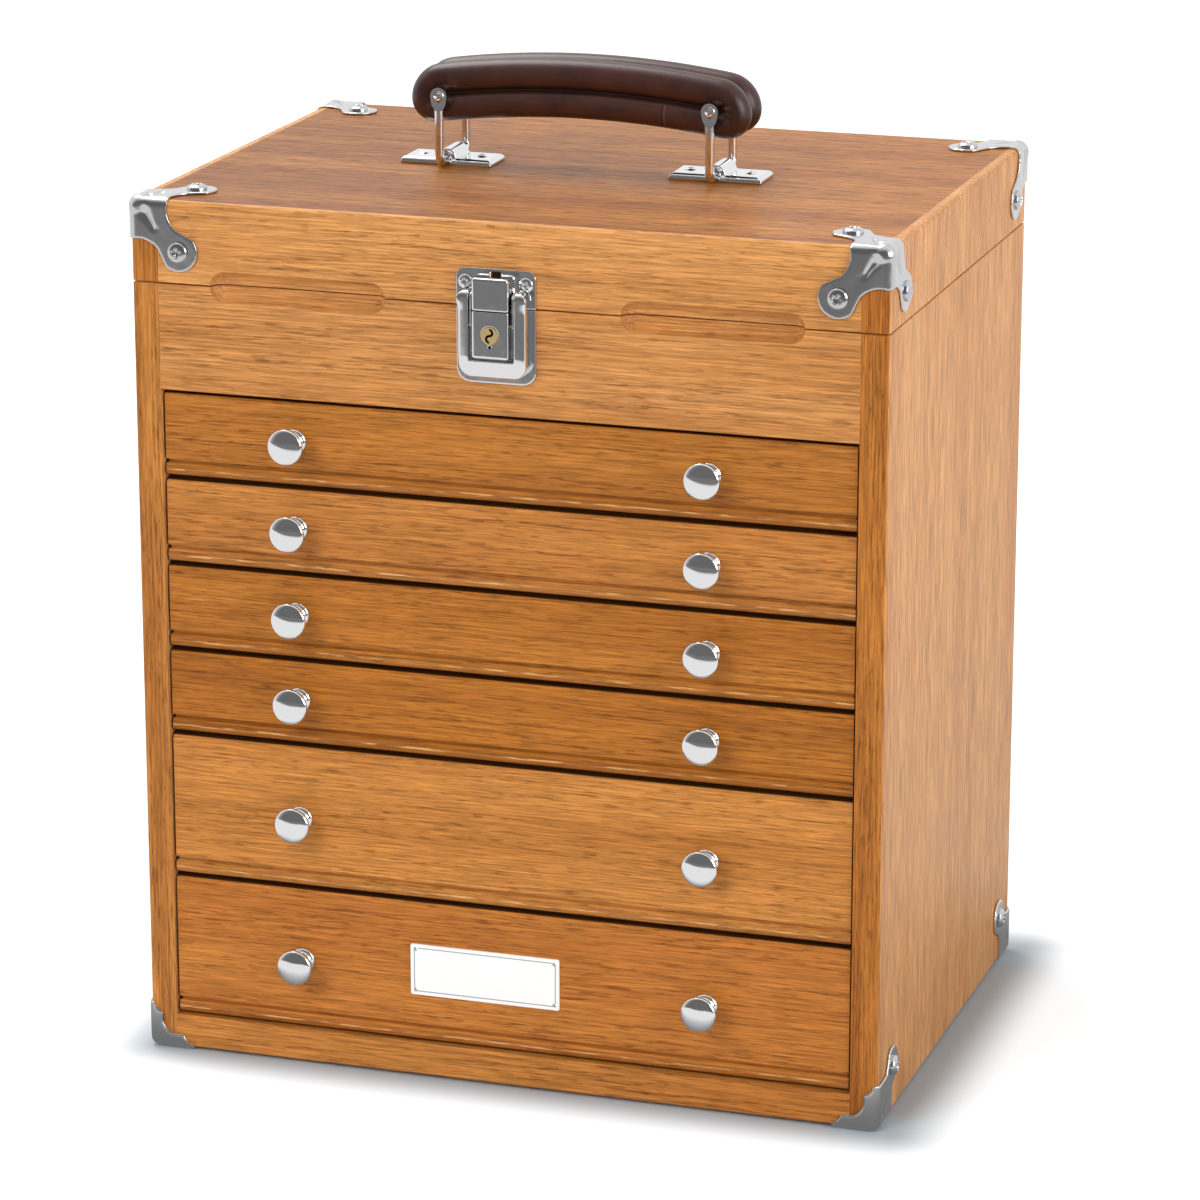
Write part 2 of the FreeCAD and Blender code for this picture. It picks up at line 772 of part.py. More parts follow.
def dome(head_radius, head_height, shank_radius, shank_length):
    """A dome head on a short shank: the head starts at zero and the shank runs down from it."""
    radius = float(head_radius)
    rise = float(head_height)
    ball = (radius * radius + rise * rise) / (2 * rise)
    top = Vector(0, 0, rise)
    rim = Vector(radius, 0, 0)
    lean = math.asin(radius / ball) / 2
    middle = Vector(ball * math.sin(lean), 0, rise - ball + ball * math.cos(lean))
    edges = [Part.Arc(top, middle, rim).toShape()]
    corners = [rim, Vector(float(shank_radius), 0, 0),
               Vector(float(shank_radius), 0, -float(shank_length)),
               Vector(0, 0, -float(shank_length)), top]
    for start, end in zip(corners, corners[1:]):
        edges.append(Part.LineSegment(start, end).toShape())
    face = Part.Face(Part.Wire(edges))
    return face.revolve(Vector(0, 0, 0), Vector(0, 0, 1), 360)


TURNS = {
    "up": FreeCAD.Rotation(),
    "front": FreeCAD.Rotation(Vector(1, 0, 0), 90),
    "back": FreeCAD.Rotation(Vector(1, 0, 0), -90),
    "left": FreeCAD.Rotation(Vector(0, 1, 0), -90),
    "right": FreeCAD.Rotation(Vector(0, 1, 0), 90),
}


def set_at(shape, x, y, z, facing):
    """A copy of a shape made along Z, turned to face a side and moved to a place."""
    copy = shape.copy()
    copy.Placement = FreeCAD.Placement(Vector(float(x), float(y), float(z)), TURNS[facing])
    return copy


def block(low_x, low_y, low_z, high_x, high_y, high_z):
    """A plain block between two corners."""
    low = Vector(float(low_x), float(low_y), float(low_z))
    high = Vector(float(high_x), float(high_y), float(high_z))
    return Part.makeBox(high.x - low.x, high.y - low.y, high.z - low.z, low)


def rod(radius, start, end):
    """A round bar between two points, each given by three lengths."""
    start = Vector(*[float(value) for value in start])
    end = Vector(*[float(value) for value in end])
    span = end - start
    return Part.makeCylinder(float(radius), span.Length, start, span)


pin = dome(S.plate_pin_radius, S.plate_pin_head, S.plate_pin_radius / 2, S.plate_thickness)
pin_y = front + S.drawer_recess - S.plate_thickness
pins = [set_at(pin, S.plate_offset + across, pin_y, plate_level + up, "front") for across, up in pin_corners]
shaped("nameplate_pins", Part.makeCompound(pins))


# Pressed corner brackets, made once for a corner at zero whose wood fills the positive side
def outline_face(points):
    """A closed outline in the XY plane from lines and three-point arcs."""
    edges = []
    for start, end, via in points:
        start = Vector(*start)
        end = Vector(*end)
        if via is None:
            edges.append(Part.LineSegment(start, end).toShape())
        else:
            edges.append(Part.Arc(start, Vector(*via), end).toShape())
    return Part.Face(Part.Wire(edges))


def mirrored(point):
    return (point[1], point[0], point[2])


DIAGONAL_SHARE = math.sqrt(1 / 2)
WAIST_SHARES = (1.01, 0.42)
NECK_SHARES = (0.958, 0.574)
LOBE_MEET_DEGREES = -40
CUSP_SHARES = (0.83, 0.77)
INNER_ARC_SHARES = (0.61, 0.385)
VALLEY_SHARES = (0.3, 0.58)
VALLEY_END_SHARE = 0.3


def lobe_face(collar):
    """A collar along both edges that narrows to a neck and swells into a round screw lobe."""
    margin = -float(S.corner_metal + S.overrun)
    collar = float(collar)
    lobe = float(S.lobe_place)
    radius = float(S.lobe_radius)
    lean = math.radians(LOBE_MEET_DEGREES)
    outer = (collar, margin, 0)
    edge = (collar, 0, 0)
    waist = (collar * WAIST_SHARES[0], collar * WAIST_SHARES[1], 0)
    neck = (lobe * NECK_SHARES[0], lobe * NECK_SHARES[1], 0)
    meet = (lobe + radius * math.cos(lean), lobe + radius * math.sin(lean), 0)
    tip = lobe + radius * DIAGONAL_SHARE
    return outline_face([
        ((margin, margin, 0), outer, None),
        (outer, edge, None),
        (edge, neck, waist),
        (neck, meet, None),
        (meet, mirrored(meet), (tip, tip, 0)),
        (mirrored(meet), mirrored(neck), None),
        (mirrored(neck), mirrored(edge), mirrored(waist)),
        (mirrored(edge), mirrored(outer), None),
        (mirrored(outer), (margin, margin, 0), None),
    ])


def foot_face():
    """A short stepped wrap with no screw, cusped at each end and hollow in its inner corner."""
    margin = -float(S.corner_metal + S.overrun)
    leg = float(S.foot_leg)
    step = float(S.foot_step)
    cusp = float(S.foot_cusp)
    outer = (leg, margin, 0)
    edge = (leg, 0, 0)
    notch = (leg * CUSP_SHARES[0], cusp, 0)
    shelf = (leg * CUSP_SHARES[1], step, 0)
    start = (leg * INNER_ARC_SHARES[0], step, 0)
    middle = (leg * INNER_ARC_SHARES[1], leg * INNER_ARC_SHARES[1], 0)
    return outline_face([
        ((margin, margin, 0), outer, None),
        (outer, edge, None),
        (edge, notch, None),
        (notch, shelf, None),
        (shelf, start, None),
        (start, mirrored(start), middle),
        (mirrored(start), mirrored(shelf), None),
        (mirrored(shelf), mirrored(notch), None),
        (mirrored(notch), mirrored(edge), None),
        (mirrored(edge), mirrored(outer), None),
        (mirrored(outer), (margin, margin, 0), None),
    ])


def rounded_corner_box(low, high, radius):
    """A block from low to high on every axis, rounded on the three edges that meet at low."""
    corner = Vector(low, low, low)
    box = Part.makeBox(high - low, high - low, high - low, corner)
    meeting = [edge for edge in box.Edges
               if any(near(vertex.Point.distanceToPoint(corner), 0) for vertex in edge.Vertexes)]
    return box.makeFillet(radius, meeting)


def turned_to(shape, axis):
    """Turns a shape made for the face that looks along Z to the face that looks along an axis."""
    corner = Vector(0, 0, 0)
    diagonal = Vector(1, 1, 1)
    third_turn = {"X": 120, "Y": -120, "Z": 0}[axis]
    if third_turn:
        shape.rotate(corner, diagonal, third_turn)
    return shape


def face_prism(face):
    """An outline made into a prism that goes through the metal."""
    above = float(S.corner_metal + S.overrun)
    prism = face.extrude(Vector(0, 0, above + float(S.wood_radius)))
    prism.translate(Vector(0, 0, -above))
    return prism


def valley():
    """The pressed valley that runs from the corner along an arm and narrows to a point."""
    lobe = float(S.lobe_place)
    metal = float(S.corner_metal)
    wide = float(S.valley_radius)
    deep = float(S.valley_depth)
    narrow = wide * VALLEY_END_SHARE
    shallow = deep * VALLEY_END_SHARE
    near_place, far_place = [lobe * share for share in VALLEY_SHARES]
    start = Vector(near_place, near_place, deep - metal - wide)
    end = Vector(far_place, far_place, shallow - metal - narrow)
    span = end - start
    cone = Part.makeCone(wide, narrow, span.Length, start, span)
    return cone.fuse([Part.makeSphere(wide, start), Part.makeSphere(narrow, end)])


def screw_bore():
    lobe = float(S.lobe_place)
    depth = float(S.corner_metal + S.overrun)
    return Part.makeCylinder(float(S.screw_shank_radius + S.bore_play), depth, Vector(lobe, lobe, -depth))


def bracket(outlines):
    """One pressed bracket; outlines gives the face outline for each of the axes X, Y and Z."""
    reach = float(S.lobe_place + S.lobe_radius + S.foot_leg)
    metal = float(S.corner_metal)
    outer = rounded_corner_box(-metal, reach, float(S.corner_radius))
    wood = rounded_corner_box(0.0, reach + metal, float(S.wood_radius))
    prisms = [turned_to(face_prism(face), axis) for axis, (face, lobed) in outlines.items()]
    pressed = outer.common(prisms[0].fuse(prisms[1:]))
    lobes = [axis for axis, (face, lobed) in outlines.items() if lobed]
    if len(lobes) == len(outlines):
        inset = float(S.bulge_place)
        bulge = inset + metal + float(S.bulge_rise)
        pressed = pressed.fuse(Part.makeSphere(bulge, Vector(inset, inset, inset)))
    pressed = pressed.cut(wood)
    for axis in lobes:
        pressed = pressed.cut([turned_to(screw_bore(), axis), turned_to(valley(), axis)])
    return pressed.removeSplitter()


def at_corner(shape, x, y, z, signs):
    """Mirrors a bracket made at zero so that the wood lies along signs, and moves it to a corner."""
    moved = shape.copy()
    for axis, sign in zip((Vector(1, 0, 0), Vector(0, 1, 0), Vector(0, 0, 1)), signs):
        if sign < 0:
            moved = moved.mirror(Vector(0, 0, 0), axis)
    moved.translate(Vector(float(x), float(y), float(z)))
    return moved


lid_lobe = lobe_face(S.collar_length)
base_lobe = lobe_face(S.foot_leg)
foot = foot_face()
lid_bracket = bracket({"X": (lid_lobe, True), "Y": (lid_lobe, True), "Z": (lid_lobe, True)})
front_foot_bracket = bracket({"X": (base_lobe, True), "Y": (foot, False), "Z": (foot, False)})
rear_foot_bracket = bracket({"X": (base_lobe, True), "Y": (base_lobe, True), "Z": (foot, False)})

corner_screw = dome(S.screw_head_radius, S.screw_head_height, S.screw_shank_radius, S.corner_metal)
lid_brackets = []
lid_screws = []
base_brackets = []
base_screws = []
for side in (-1, 1):
    corner_x = half_width * side
    outward_x = "left" if side < 0 else "right"
    screw_x = corner_x - S.lobe_place * side
    metal_x = corner_x + S.corner_metal * side
    for end, corner_y, outward_y in ((-1, front, "front"), (1, back, "back")):
        screw_y = corner_y - S.lobe_place * end
        metal_y = corner_y + S.corner_metal * end
        lid_brackets.append(at_corner(lid_bracket, corner_x, corner_y, lid_crown, (-side, -end, -1)))
        lid_screw_z = lid_crown - S.lobe_place
        lid_screws.append(set_at(corner_screw, metal_x, screw_y, lid_screw_z, outward_x))
        lid_screws.append(set_at(corner_screw, screw_x, metal_y, lid_screw_z, outward_y))
        lid_screws.append(set_at(corner_screw, screw_x, screw_y, lid_crown + S.corner_metal, "up"))
        foot_bracket = front_foot_bracket if end < 0 else rear_foot_bracket
        base_brackets.append(at_corner(foot_bracket, corner_x, corner_y, floor, (-side, -end, 1)))
        base_screw_z = floor + S.lobe_place
        base_screws.append(set_at(corner_screw, metal_x, screw_y, base_screw_z, outward_x))
        if end > 0:
            base_screws.append(set_at(corner_screw, screw_x, metal_y, base_screw_z, outward_y))
shaped("lid_corners", Part.makeCompound(lid_brackets))
shaped("lid_corner_screws", Part.makeCompound(lid_screws))
shaped("base_corners", Part.makeCompound(base_brackets))
shaped("base_corner_screws", Part.makeCompound(base_screws))


# Butt hinges in the seam, with their knuckles behind the back
KNUCKLE_SHARE = 1 / HINGE_KNUCKLES


def hinge_leaf(x, side, own_knuckles):
    """One leaf: a plate in the wood and the knuckles that it owns; side is -1 below the pin."""
    metal = S.hinge_leaf
    near_z = seam + S.hinge_play * side
    far_z = near_z + metal * side
    low_z, high_z = (far_z, near_z) if side < 0 else (near_z, far_z)
    left = x - S.hinge_width / 2
    leaf = block(left, back - S.hinge_leaf_depth, low_z, left + S.hinge_width, back, high_z)
    pitch = S.hinge_width * KNUCKLE_SHARE
    for index in own_knuckles:
        start = left + pitch * index + S.knuckle_play / 2
        end = start + pitch - S.knuckle_play
        web = block(start, back, low_z, end, hinge_axis_y, high_z)
        barrel = rod(S.hinge_knuckle_radius, (start, hinge_axis_y, seam), (end, hinge_axis_y, seam))
        leaf = leaf.fuse([web, barrel])
    bore = rod(S.hinge_pin_radius + S.hinge_play, (left - S.overrun, hinge_axis_y, seam),
               (left + S.hinge_width + S.overrun, hinge_axis_y, seam))
    leaf = leaf.cut(bore)
    for sign in (-1, 1):
        seat = countersunk(S.hinge_play)
        leaf = leaf.cut(set_hinge_screw(seat, x, sign, side))
    return leaf.removeSplitter()


def countersunk(play):
    """A flush cone head as deep as the leaf, wide end up; play widens it into its seat."""
    wide = float(S.hinge_screw_radius + play)
    narrow = float(S.hinge_screw_radius / 2 + play)
    return Part.makeCone(narrow, wide, float(S.hinge_leaf), Vector(0, 0, -float(S.hinge_leaf)))


def set_hinge_screw(shape, x, sign, side):
    """Puts a screw or its seat in a leaf, flush with the face that looks at the other leaf."""
    copy = shape.copy()
    if side > 0:
        copy.rotate(Vector(0, 0, 0), Vector(1, 0, 0), 180)
    screw_x = x + (S.hinge_width / 2 - S.hinge_screw_inset) * sign
    screw_y = back - S.hinge_leaf_depth / 2
    copy.translate(Vector(float(screw_x), float(screw_y), float(seam + S.hinge_play * side)))
    return copy


case_knuckles = range(0, HINGE_KNUCKLES, 2)
lid_knuckles = range(1, HINGE_KNUCKLES, 2)
hinge_sets = {"case": [], "lid": [], "pins": [], "case_screws": [], "lid_screws": []}
for hinge_x in hinge_places:
    hinge_sets["case"].append(hinge_leaf(hinge_x, -1, case_knuckles))
    hinge_sets["lid"].append(hinge_leaf(hinge_x, 1, lid_knuckles))
    left = hinge_x - S.hinge_width / 2 + S.knuckle_play / 2
    right = hinge_x + S.hinge_width / 2 - S.knuckle_play / 2
    hinge_sets["pins"].append(
        rod(S.hinge_pin_radius, (left, hinge_axis_y, seam), (right, hinge_axis_y, seam)))
    for sign in (-1, 1):
        hinge_sets["case_screws"].append(set_hinge_screw(countersunk(NONE), hinge_x, sign, -1))
        hinge_sets["lid_screws"].append(set_hinge_screw(countersunk(NONE), hinge_x, sign, 1))
shaped("hinge_case_leaves", Part.makeCompound(hinge_sets["case"]))
shaped("hinge_lid_leaves", Part.makeCompound(hinge_sets["lid"]))
shaped("hinge_pins", Part.makeCompound(hinge_sets["pins"]))
shaped("hinge_case_screws", Part.makeCompound(hinge_sets["case_screws"]))
shaped("hinge_lid_screws", Part.makeCompound(hinge_sets["lid_screws"]))


# Latch: a strike with a hood on the lid, and a lock case inside a tub-shaped lever below it
latch_x = S.fitting_offset
latch_face = front - S.latch_metal
half_latch = S.latch_width / 2
half_hood = S.hood_width / 2
hood_face = front - S.hood_reach


def edges_through(shape, level):
    """The straight edges that run from front to back at one height."""
    chosen = []
    for edge in shape.Edges:
        ends = [vertex.Point for vertex in edge.Vertexes]
        if len(ends) == 2 and near(ends[0].x, ends[1].x) and all(near(end.z, level) for end in ends):
            chosen.append(edge)
    return chosen


def front_rounded(shape, face_y, radius, open_level):
    """Rounds the edges of a block's front face, but for the one at the open level."""
    rim = [edge for edge in shape.Edges
           if near(edge.CenterOfMass.y, face_y) and not near(edge.CenterOfMass.z, open_level)]
    return shape.makeFillet(float(radius), rim)


def strike_plate():
    low = lid_base
    high = lid_base + S.strike_height
    plate = block(latch_x - half_latch, latch_face, low, latch_x + half_latch, front, high)
    corners = edges_through(plate, high)
    plate = plate.makeFillet(float(S.strike_corner), corners)
    hood_top = low + S.hood_height
    hood = block(latch_x - half_hood, hood_face, low, latch_x + half_hood, latch_face, hood_top)
    shoulders = edges_through(hood, hood_top)
    hood = hood.makeFillet(float(S.hood_radius), shoulders)
    hood = front_rounded(hood, hood_face, S.hood_radius, low)
    wall = S.latch_metal
    hollow = block(latch_x - half_hood + wall, hood_face + wall, low - S.overrun,
                   latch_x + half_hood - wall, latch_face, hood_top - wall)
    slot_z = low + S.hood_slot_lift
    slot = block(latch_x - S.hood_slot_width / 2, latch_face - S.overrun, slot_z - S.hood_slot_height / 2,
                 latch_x + S.hood_slot_width / 2, front + S.overrun, slot_z + S.hood_slot_height / 2)
    strike = plate.fuse(hood).cut([hollow, slot])
    for sign in (-1, 1):
        screw_x = latch_x + S.strike_screw_spacing / 2 * sign
        screw_z = low + S.strike_screw_lift
        strike = strike.cut(rod(S.screw_shank_radius + S.bore_play,
                                (screw_x, latch_face - S.overrun, screw_z),
                                (screw_x, front + S.overrun, screw_z)))
    return strike.removeSplitter()


shaped("strike_plate", strike_plate())
small_screw = dome(S.small_head_radius, S.small_head_height, S.screw_shank_radius, S.latch_metal)
hidden_screw = dome(S.latch_head_radius, S.latch_head_height, S.screw_shank_radius, S.latch_metal)
strike_screws = []
latch_screws = []
for sign in (-1, 1):
    strike_x = latch_x + S.strike_screw_spacing / 2 * sign
    strike_screws.append(set_at(small_screw, strike_x, latch_face, lid_base + S.strike_screw_lift, "front"))
    base_x = latch_x + S.latch_screw_spacing / 2 * sign
    latch_screws.append(set_at(hidden_screw, base_x, latch_face, case_top - S.latch_screw_drop, "front"))
shaped("strike_screws", Part.makeCompound(strike_screws))
shaped("latch_screws", Part.makeCompound(latch_screws))

lever_back = latch_face - S.lever_play
lever_front = lever_back - S.lever_depth
pivot_round = S.lever_depth / 2
pivot_y = lever_back - pivot_round
pivot_z = case_top + S.lever_rise - pivot_round
ear_inner = S.lever_window / 2 - S.ear_play - S.ear_thickness
EAR_SHARE = 0.75


def latch_base():
    """The base plate with two ears that stand up between the hood and the lever's arms."""
    low = case_top - S.latch_base_height
    plate = block(latch_x - half_latch, latch_face, low, latch_x + half_latch, front, case_top)
    corners = edges_through(plate, low)
    plate = plate.makeFillet(float(S.latch_base_corner), corners)
    ear_round = pivot_round * EAR_SHARE
    foot_low = case_top - S.lever_depth
    for sign in (-1, 1):
        near_x = latch_x + ear_inner * sign
        far_x = near_x + S.ear_thickness * sign
        low_x, high_x = (far_x, near_x) if sign < 0 else (near_x, far_x)
        strip = block(low_x, pivot_y - ear_round, foot_low, high_x, pivot_y + ear_round, pivot_z)
        cap = rod(ear_round, (low_x, pivot_y, pivot_z), (high_x, pivot_y, pivot_z))
        leg = block(low_x, pivot_y, foot_low, high_x, latch_face, case_top)
        plate = plate.fuse([strip, cap, leg])
        plate = plate.cut(rod(S.pivot_radius + S.bore_play / 2, (low_x - S.overrun, pivot_y, pivot_z),
                              (high_x + S.overrun, pivot_y, pivot_z)))
        screw_x = latch_x + S.latch_screw_spacing / 2 * sign
        screw_z = case_top - S.latch_screw_drop
        plate = plate.cut(rod(S.screw_shank_radius + S.bore_play,
                              (screw_x, latch_face - S.overrun, screw_z),
                              (screw_x, front + S.overrun, screw_z)))
    return plate.removeSplitter()


shaped("latch_base", latch_base())

plug_z = case_top - S.plug_drop
KEYWAY_SHARE = 0.36


def lock_case():
    low = case_top - S.lock_height
    case = block(latch_x - half_hood, hood_face, low, latch_x + half_hood, latch_face, case_top)
    foot_edges = edges_through(case, low)
    case = case.makeFillet(float(S.hood_radius), foot_edges)
    case = front_rounded(case, hood_face, S.hood_radius, case_top)
    bore = rod(S.plug_radius + S.bore_play / 2, (latch_x, hood_face - S.overrun, plug_z),
               (latch_x, hood_face + S.plug_length + S.bore_play, plug_z))
    tell_tale_z = plug_z - S.tell_tale_drop
    tell_tale = rod(S.tell_tale_radius, (latch_x, hood_face - S.overrun, tell_tale_z),
                    (latch_x, hood_face + S.keyway_depth, tell_tale_z))
    return case.cut([bore, tell_tale])


shaped("lock_case", lock_case())


def lock_plug():
    """The plug with an S-shaped keyway of two half rings."""
    start = (latch_x, hood_face - S.plug_stand, plug_z)
    plug = rod(S.plug_radius, start, (latch_x, hood_face + S.plug_length, plug_z))
    half = S.plug_radius * KEYWAY_SHARE
    for sign in (-1, 1):
        ring_z = plug_z + half * sign
        ring_start = (latch_x, hood_face - S.plug_stand - S.overrun, ring_z)
        ring_end = (latch_x, hood_face + S.keyway_depth, ring_z)
        ring = rod(half + S.keyway_width / 2, ring_start, ring_end)
        ring = ring.cut(rod(half - S.keyway_width / 2, ring_start, ring_end))
        side_x = latch_x + S.plug_radius * sign
        low_x, high_x = (side_x, latch_x) if sign < 0 else (latch_x, side_x)
        side = block(low_x, hood_face - S.plug_stand - S.overrun, ring_z - S.plug_radius,
                     high_x, hood_face + S.keyway_depth, ring_z + S.plug_radius)
        plug = plug.cut(ring.common(side))
    return plug


shaped("lock_plug", lock_plug())


def lever_block(inset):
    """The lever's outer form, drawn in all round by an inset, with round upper ends."""
    half = S.lever_width / 2 - inset
    low = case_top - S.lever_drop + inset
    round_end = pivot_round - inset
    front_y = lever_front + inset
    form = block(latch_x - half, front_y, low, latch_x + half, pivot_y + round_end, pivot_z)
    ends = rod(round_end, (latch_x - half, pivot_y, pivot_z), (latch_x + half, pivot_y, pivot_z))
    form = form.fuse(ends)
    outline_block = block(latch_x - half, front_y - S.overrun, low, latch_x + half,
                          front + S.overrun, pivot_z + round_end)
    feet = edges_through(outline_block, low)
    outline_block = outline_block.makeFillet(float(S.lever_corner - inset), feet)
    heads = edges_through(outline_block, pivot_z + round_end)
    outline_block = outline_block.makeFillet(float(S.strike_corner - inset), heads)
    return form.common(outline_block)


def latch_lever():
    """A pressed tub with a window for the lock case, hollow from behind."""
    window_low = case_top - S.lever_drop + S.lever_bar
    half = S.lever_window / 2
    window = block(latch_x - half, lever_front - S.overrun, window_low,
                   latch_x + half, front + S.overrun, pivot_z + S.lever_depth)
    tub = lever_block(NONE).cut(window)
    wall = S.lever_wall
    hollow = lever_block(wall)
    behind = block(latch_x - S.lever_width, pivot_y, case_top - S.lever_drop + wall,
                   latch_x + S.lever_width, front + S.overrun, pivot_z)
    hollow = hollow.fuse(behind.common(lever_mask(wall)))
    cheek = block(latch_x - half - wall, lever_front - S.overrun, window_low - wall,
                  latch_x + half + wall, front + S.overrun, pivot_z + S.lever_depth)
    tub = tub.cut(hollow.cut(cheek))
    pivots = rod(S.pivot_radius + S.pivot_play, (latch_x - half - wall - S.overrun, pivot_y, pivot_z),
                 (latch_x + half + wall + S.overrun, pivot_y, pivot_z))
    return tub.cut(pivots).removeSplitter()


def lever_mask(inset):
    """The lever's outline in front view, drawn in by an inset, as a deep prism."""
    half = S.lever_width / 2 - inset
    low = case_top - S.lever_drop + inset
    mask = block(latch_x - half, lever_front, low, latch_x + half, front + S.overrun, pivot_z)
    feet = edges_through(mask, low)
    return mask.makeFillet(float(S.lever_corner - inset), feet)


shaped("latch_lever", latch_lever())
pivots = []
for sign in (-1, 1):
    start_x = latch_x + ear_inner * sign
    end_x = latch_x + (S.lever_window / 2 + S.lever_wall + S.ear_play) * sign
    pivots.append(rod(S.pivot_radius, (start_x, pivot_y, pivot_z), (end_x, pivot_y, pivot_z)))
shaped("latch_pivots", Part.makeCompound(pivots))

# Handle: two plates on the lid, two wire bails and a stuffed leather grip
eye_z = lid_crown + S.bail_axis + S.eye_lift
bail_half = S.bail_width / 2
wire_radius = S.bail_wire / 2


def handle_mount(x):
    """A crowned plate with a hump over the bail's cross wire."""
    half_length = S.mount_length / 2
    half_width_y = S.mount_width / 2
    plate = block(x - half_length, deck_y - half_width_y, lid_crown,
                  x + half_length, deck_y + half_width_y, lid_crown + S.mount_height)
    rim = [edge for edge in plate.Edges if near(edge.CenterOfMass.z, lid_crown + S.mount_height)]
    plate = plate.makeFillet(float(S.mount_bevel), rim)
    hump_half = half_width_y - S.mount_bevel / 2
    hump = rod(S.mount_hump_radius, (x, deck_y - hump_half, lid_crown + S.bail_axis),
               (x, deck_y + hump_half, lid_crown + S.bail_axis))
    above = block(x - half_length, deck_y - half_width_y, lid_crown,
                  x + half_length, deck_y + half_width_y, eye_z)
    plate = plate.fuse(hump.common(above))
    bore = rod(wire_radius + S.bore_play, (x, deck_y - S.mount_width, lid_crown + S.bail_axis),
               (x, deck_y + S.mount_width, lid_crown + S.bail_axis))
    plate = plate.cut(bore)
    for sign in (-1, 1):
        screw_x = x + S.mount_screw_place * sign
        plate = plate.cut(rod(S.screw_shank_radius + S.bore_play,
                              (screw_x, deck_y, lid_crown - S.overrun), (screw_x, deck_y, eye_z)))
    return plate.removeSplitter()


def bail(x):
    """A wire bent up at both ends, each end pressed flat into an eye."""
    low = float(lid_crown + S.bail_axis)
    bend = float(S.bail_bend)
    half = float(bail_half)
    centre = float(deck_y)
    x = float(x)
    top = float(eye_z - S.eye_radius / 2)
    slant = bend * DIAGONAL_SHARE
    front_y = centre - half
    back_y = centre + half
    path = Part.Wire([
        Part.LineSegment(Vector(x, front_y, top), Vector(x, front_y, low + bend)).toShape(),
        Part.Arc(Vector(x, front_y, low + bend),
                 Vector(x, front_y + bend - slant, low + bend - slant),
                 Vector(x, front_y + bend, low)).toShape(),
        Part.LineSegment(Vector(x, front_y + bend, low), Vector(x, back_y - bend, low)).toShape(),
        Part.Arc(Vector(x, back_y - bend, low),
                 Vector(x, back_y - bend + slant, low + bend - slant),
                 Vector(x, back_y, low + bend)).toShape(),
        Part.LineSegment(Vector(x, back_y, low + bend), Vector(x, back_y, top)).toShape(),
    ])
    circle = Part.Circle(Vector(x, front_y, top), Vector(0, 0, 1), float(wire_radius))
    wire = path.makePipeShell([Part.Wire(circle.toShape())], True, False)
    pieces = []
    for sign in (-1, 1):
        leg_y = deck_y + bail_half * sign
        eye = rod(S.eye_radius, (x, leg_y - S.eye_thickness / 2, eye_z),
                  (x, leg_y + S.eye_thickness / 2, eye_z))
        neck = block(x - wire_radius, leg_y - S.eye_thickness / 2, eye_z - S.eye_neck,
                     x + wire_radius, leg_y + S.eye_thickness / 2, eye_z)
        pieces += [eye, neck]
    form = wire.fuse(pieces)
    for sign in (-1, 1):
        leg_y = deck_y + bail_half * sign
        for inner_y in (leg_y - S.eye_thickness / 2 - S.bail_wire, leg_y + S.eye_thickness / 2):
            form = form.cut(block(x - S.eye_radius, inner_y, eye_z - S.eye_radius,
                                  x + S.eye_radius, inner_y + S.bail_wire, eye_z + S.eye_radius))
    form = form.cut(rod(S.rivet_radius + S.bore_play / 2, (x, front_y - S.bail_wire, eye_z),
                        (x, back_y + S.bail_wire, eye_z)))
    return form.removeSplitter()


def rivet(x):
    """A long rivet through both eyes and the grip, with a low head at each end."""
    reach = bail_half + S.eye_thickness / 2
    shank = rod(S.rivet_radius, (x, deck_y - reach, eye_z), (x, deck_y + reach, eye_z))
    head = dome(S.rivet_head_radius, S.rivet_head, S.rivet_radius, S.rivet_head)
    heads = [set_at(head, x, deck_y - reach, eye_z, "front"), set_at(head, x, deck_y + reach, eye_z, "back")]
    return shank.fuse(heads).removeSplitter()


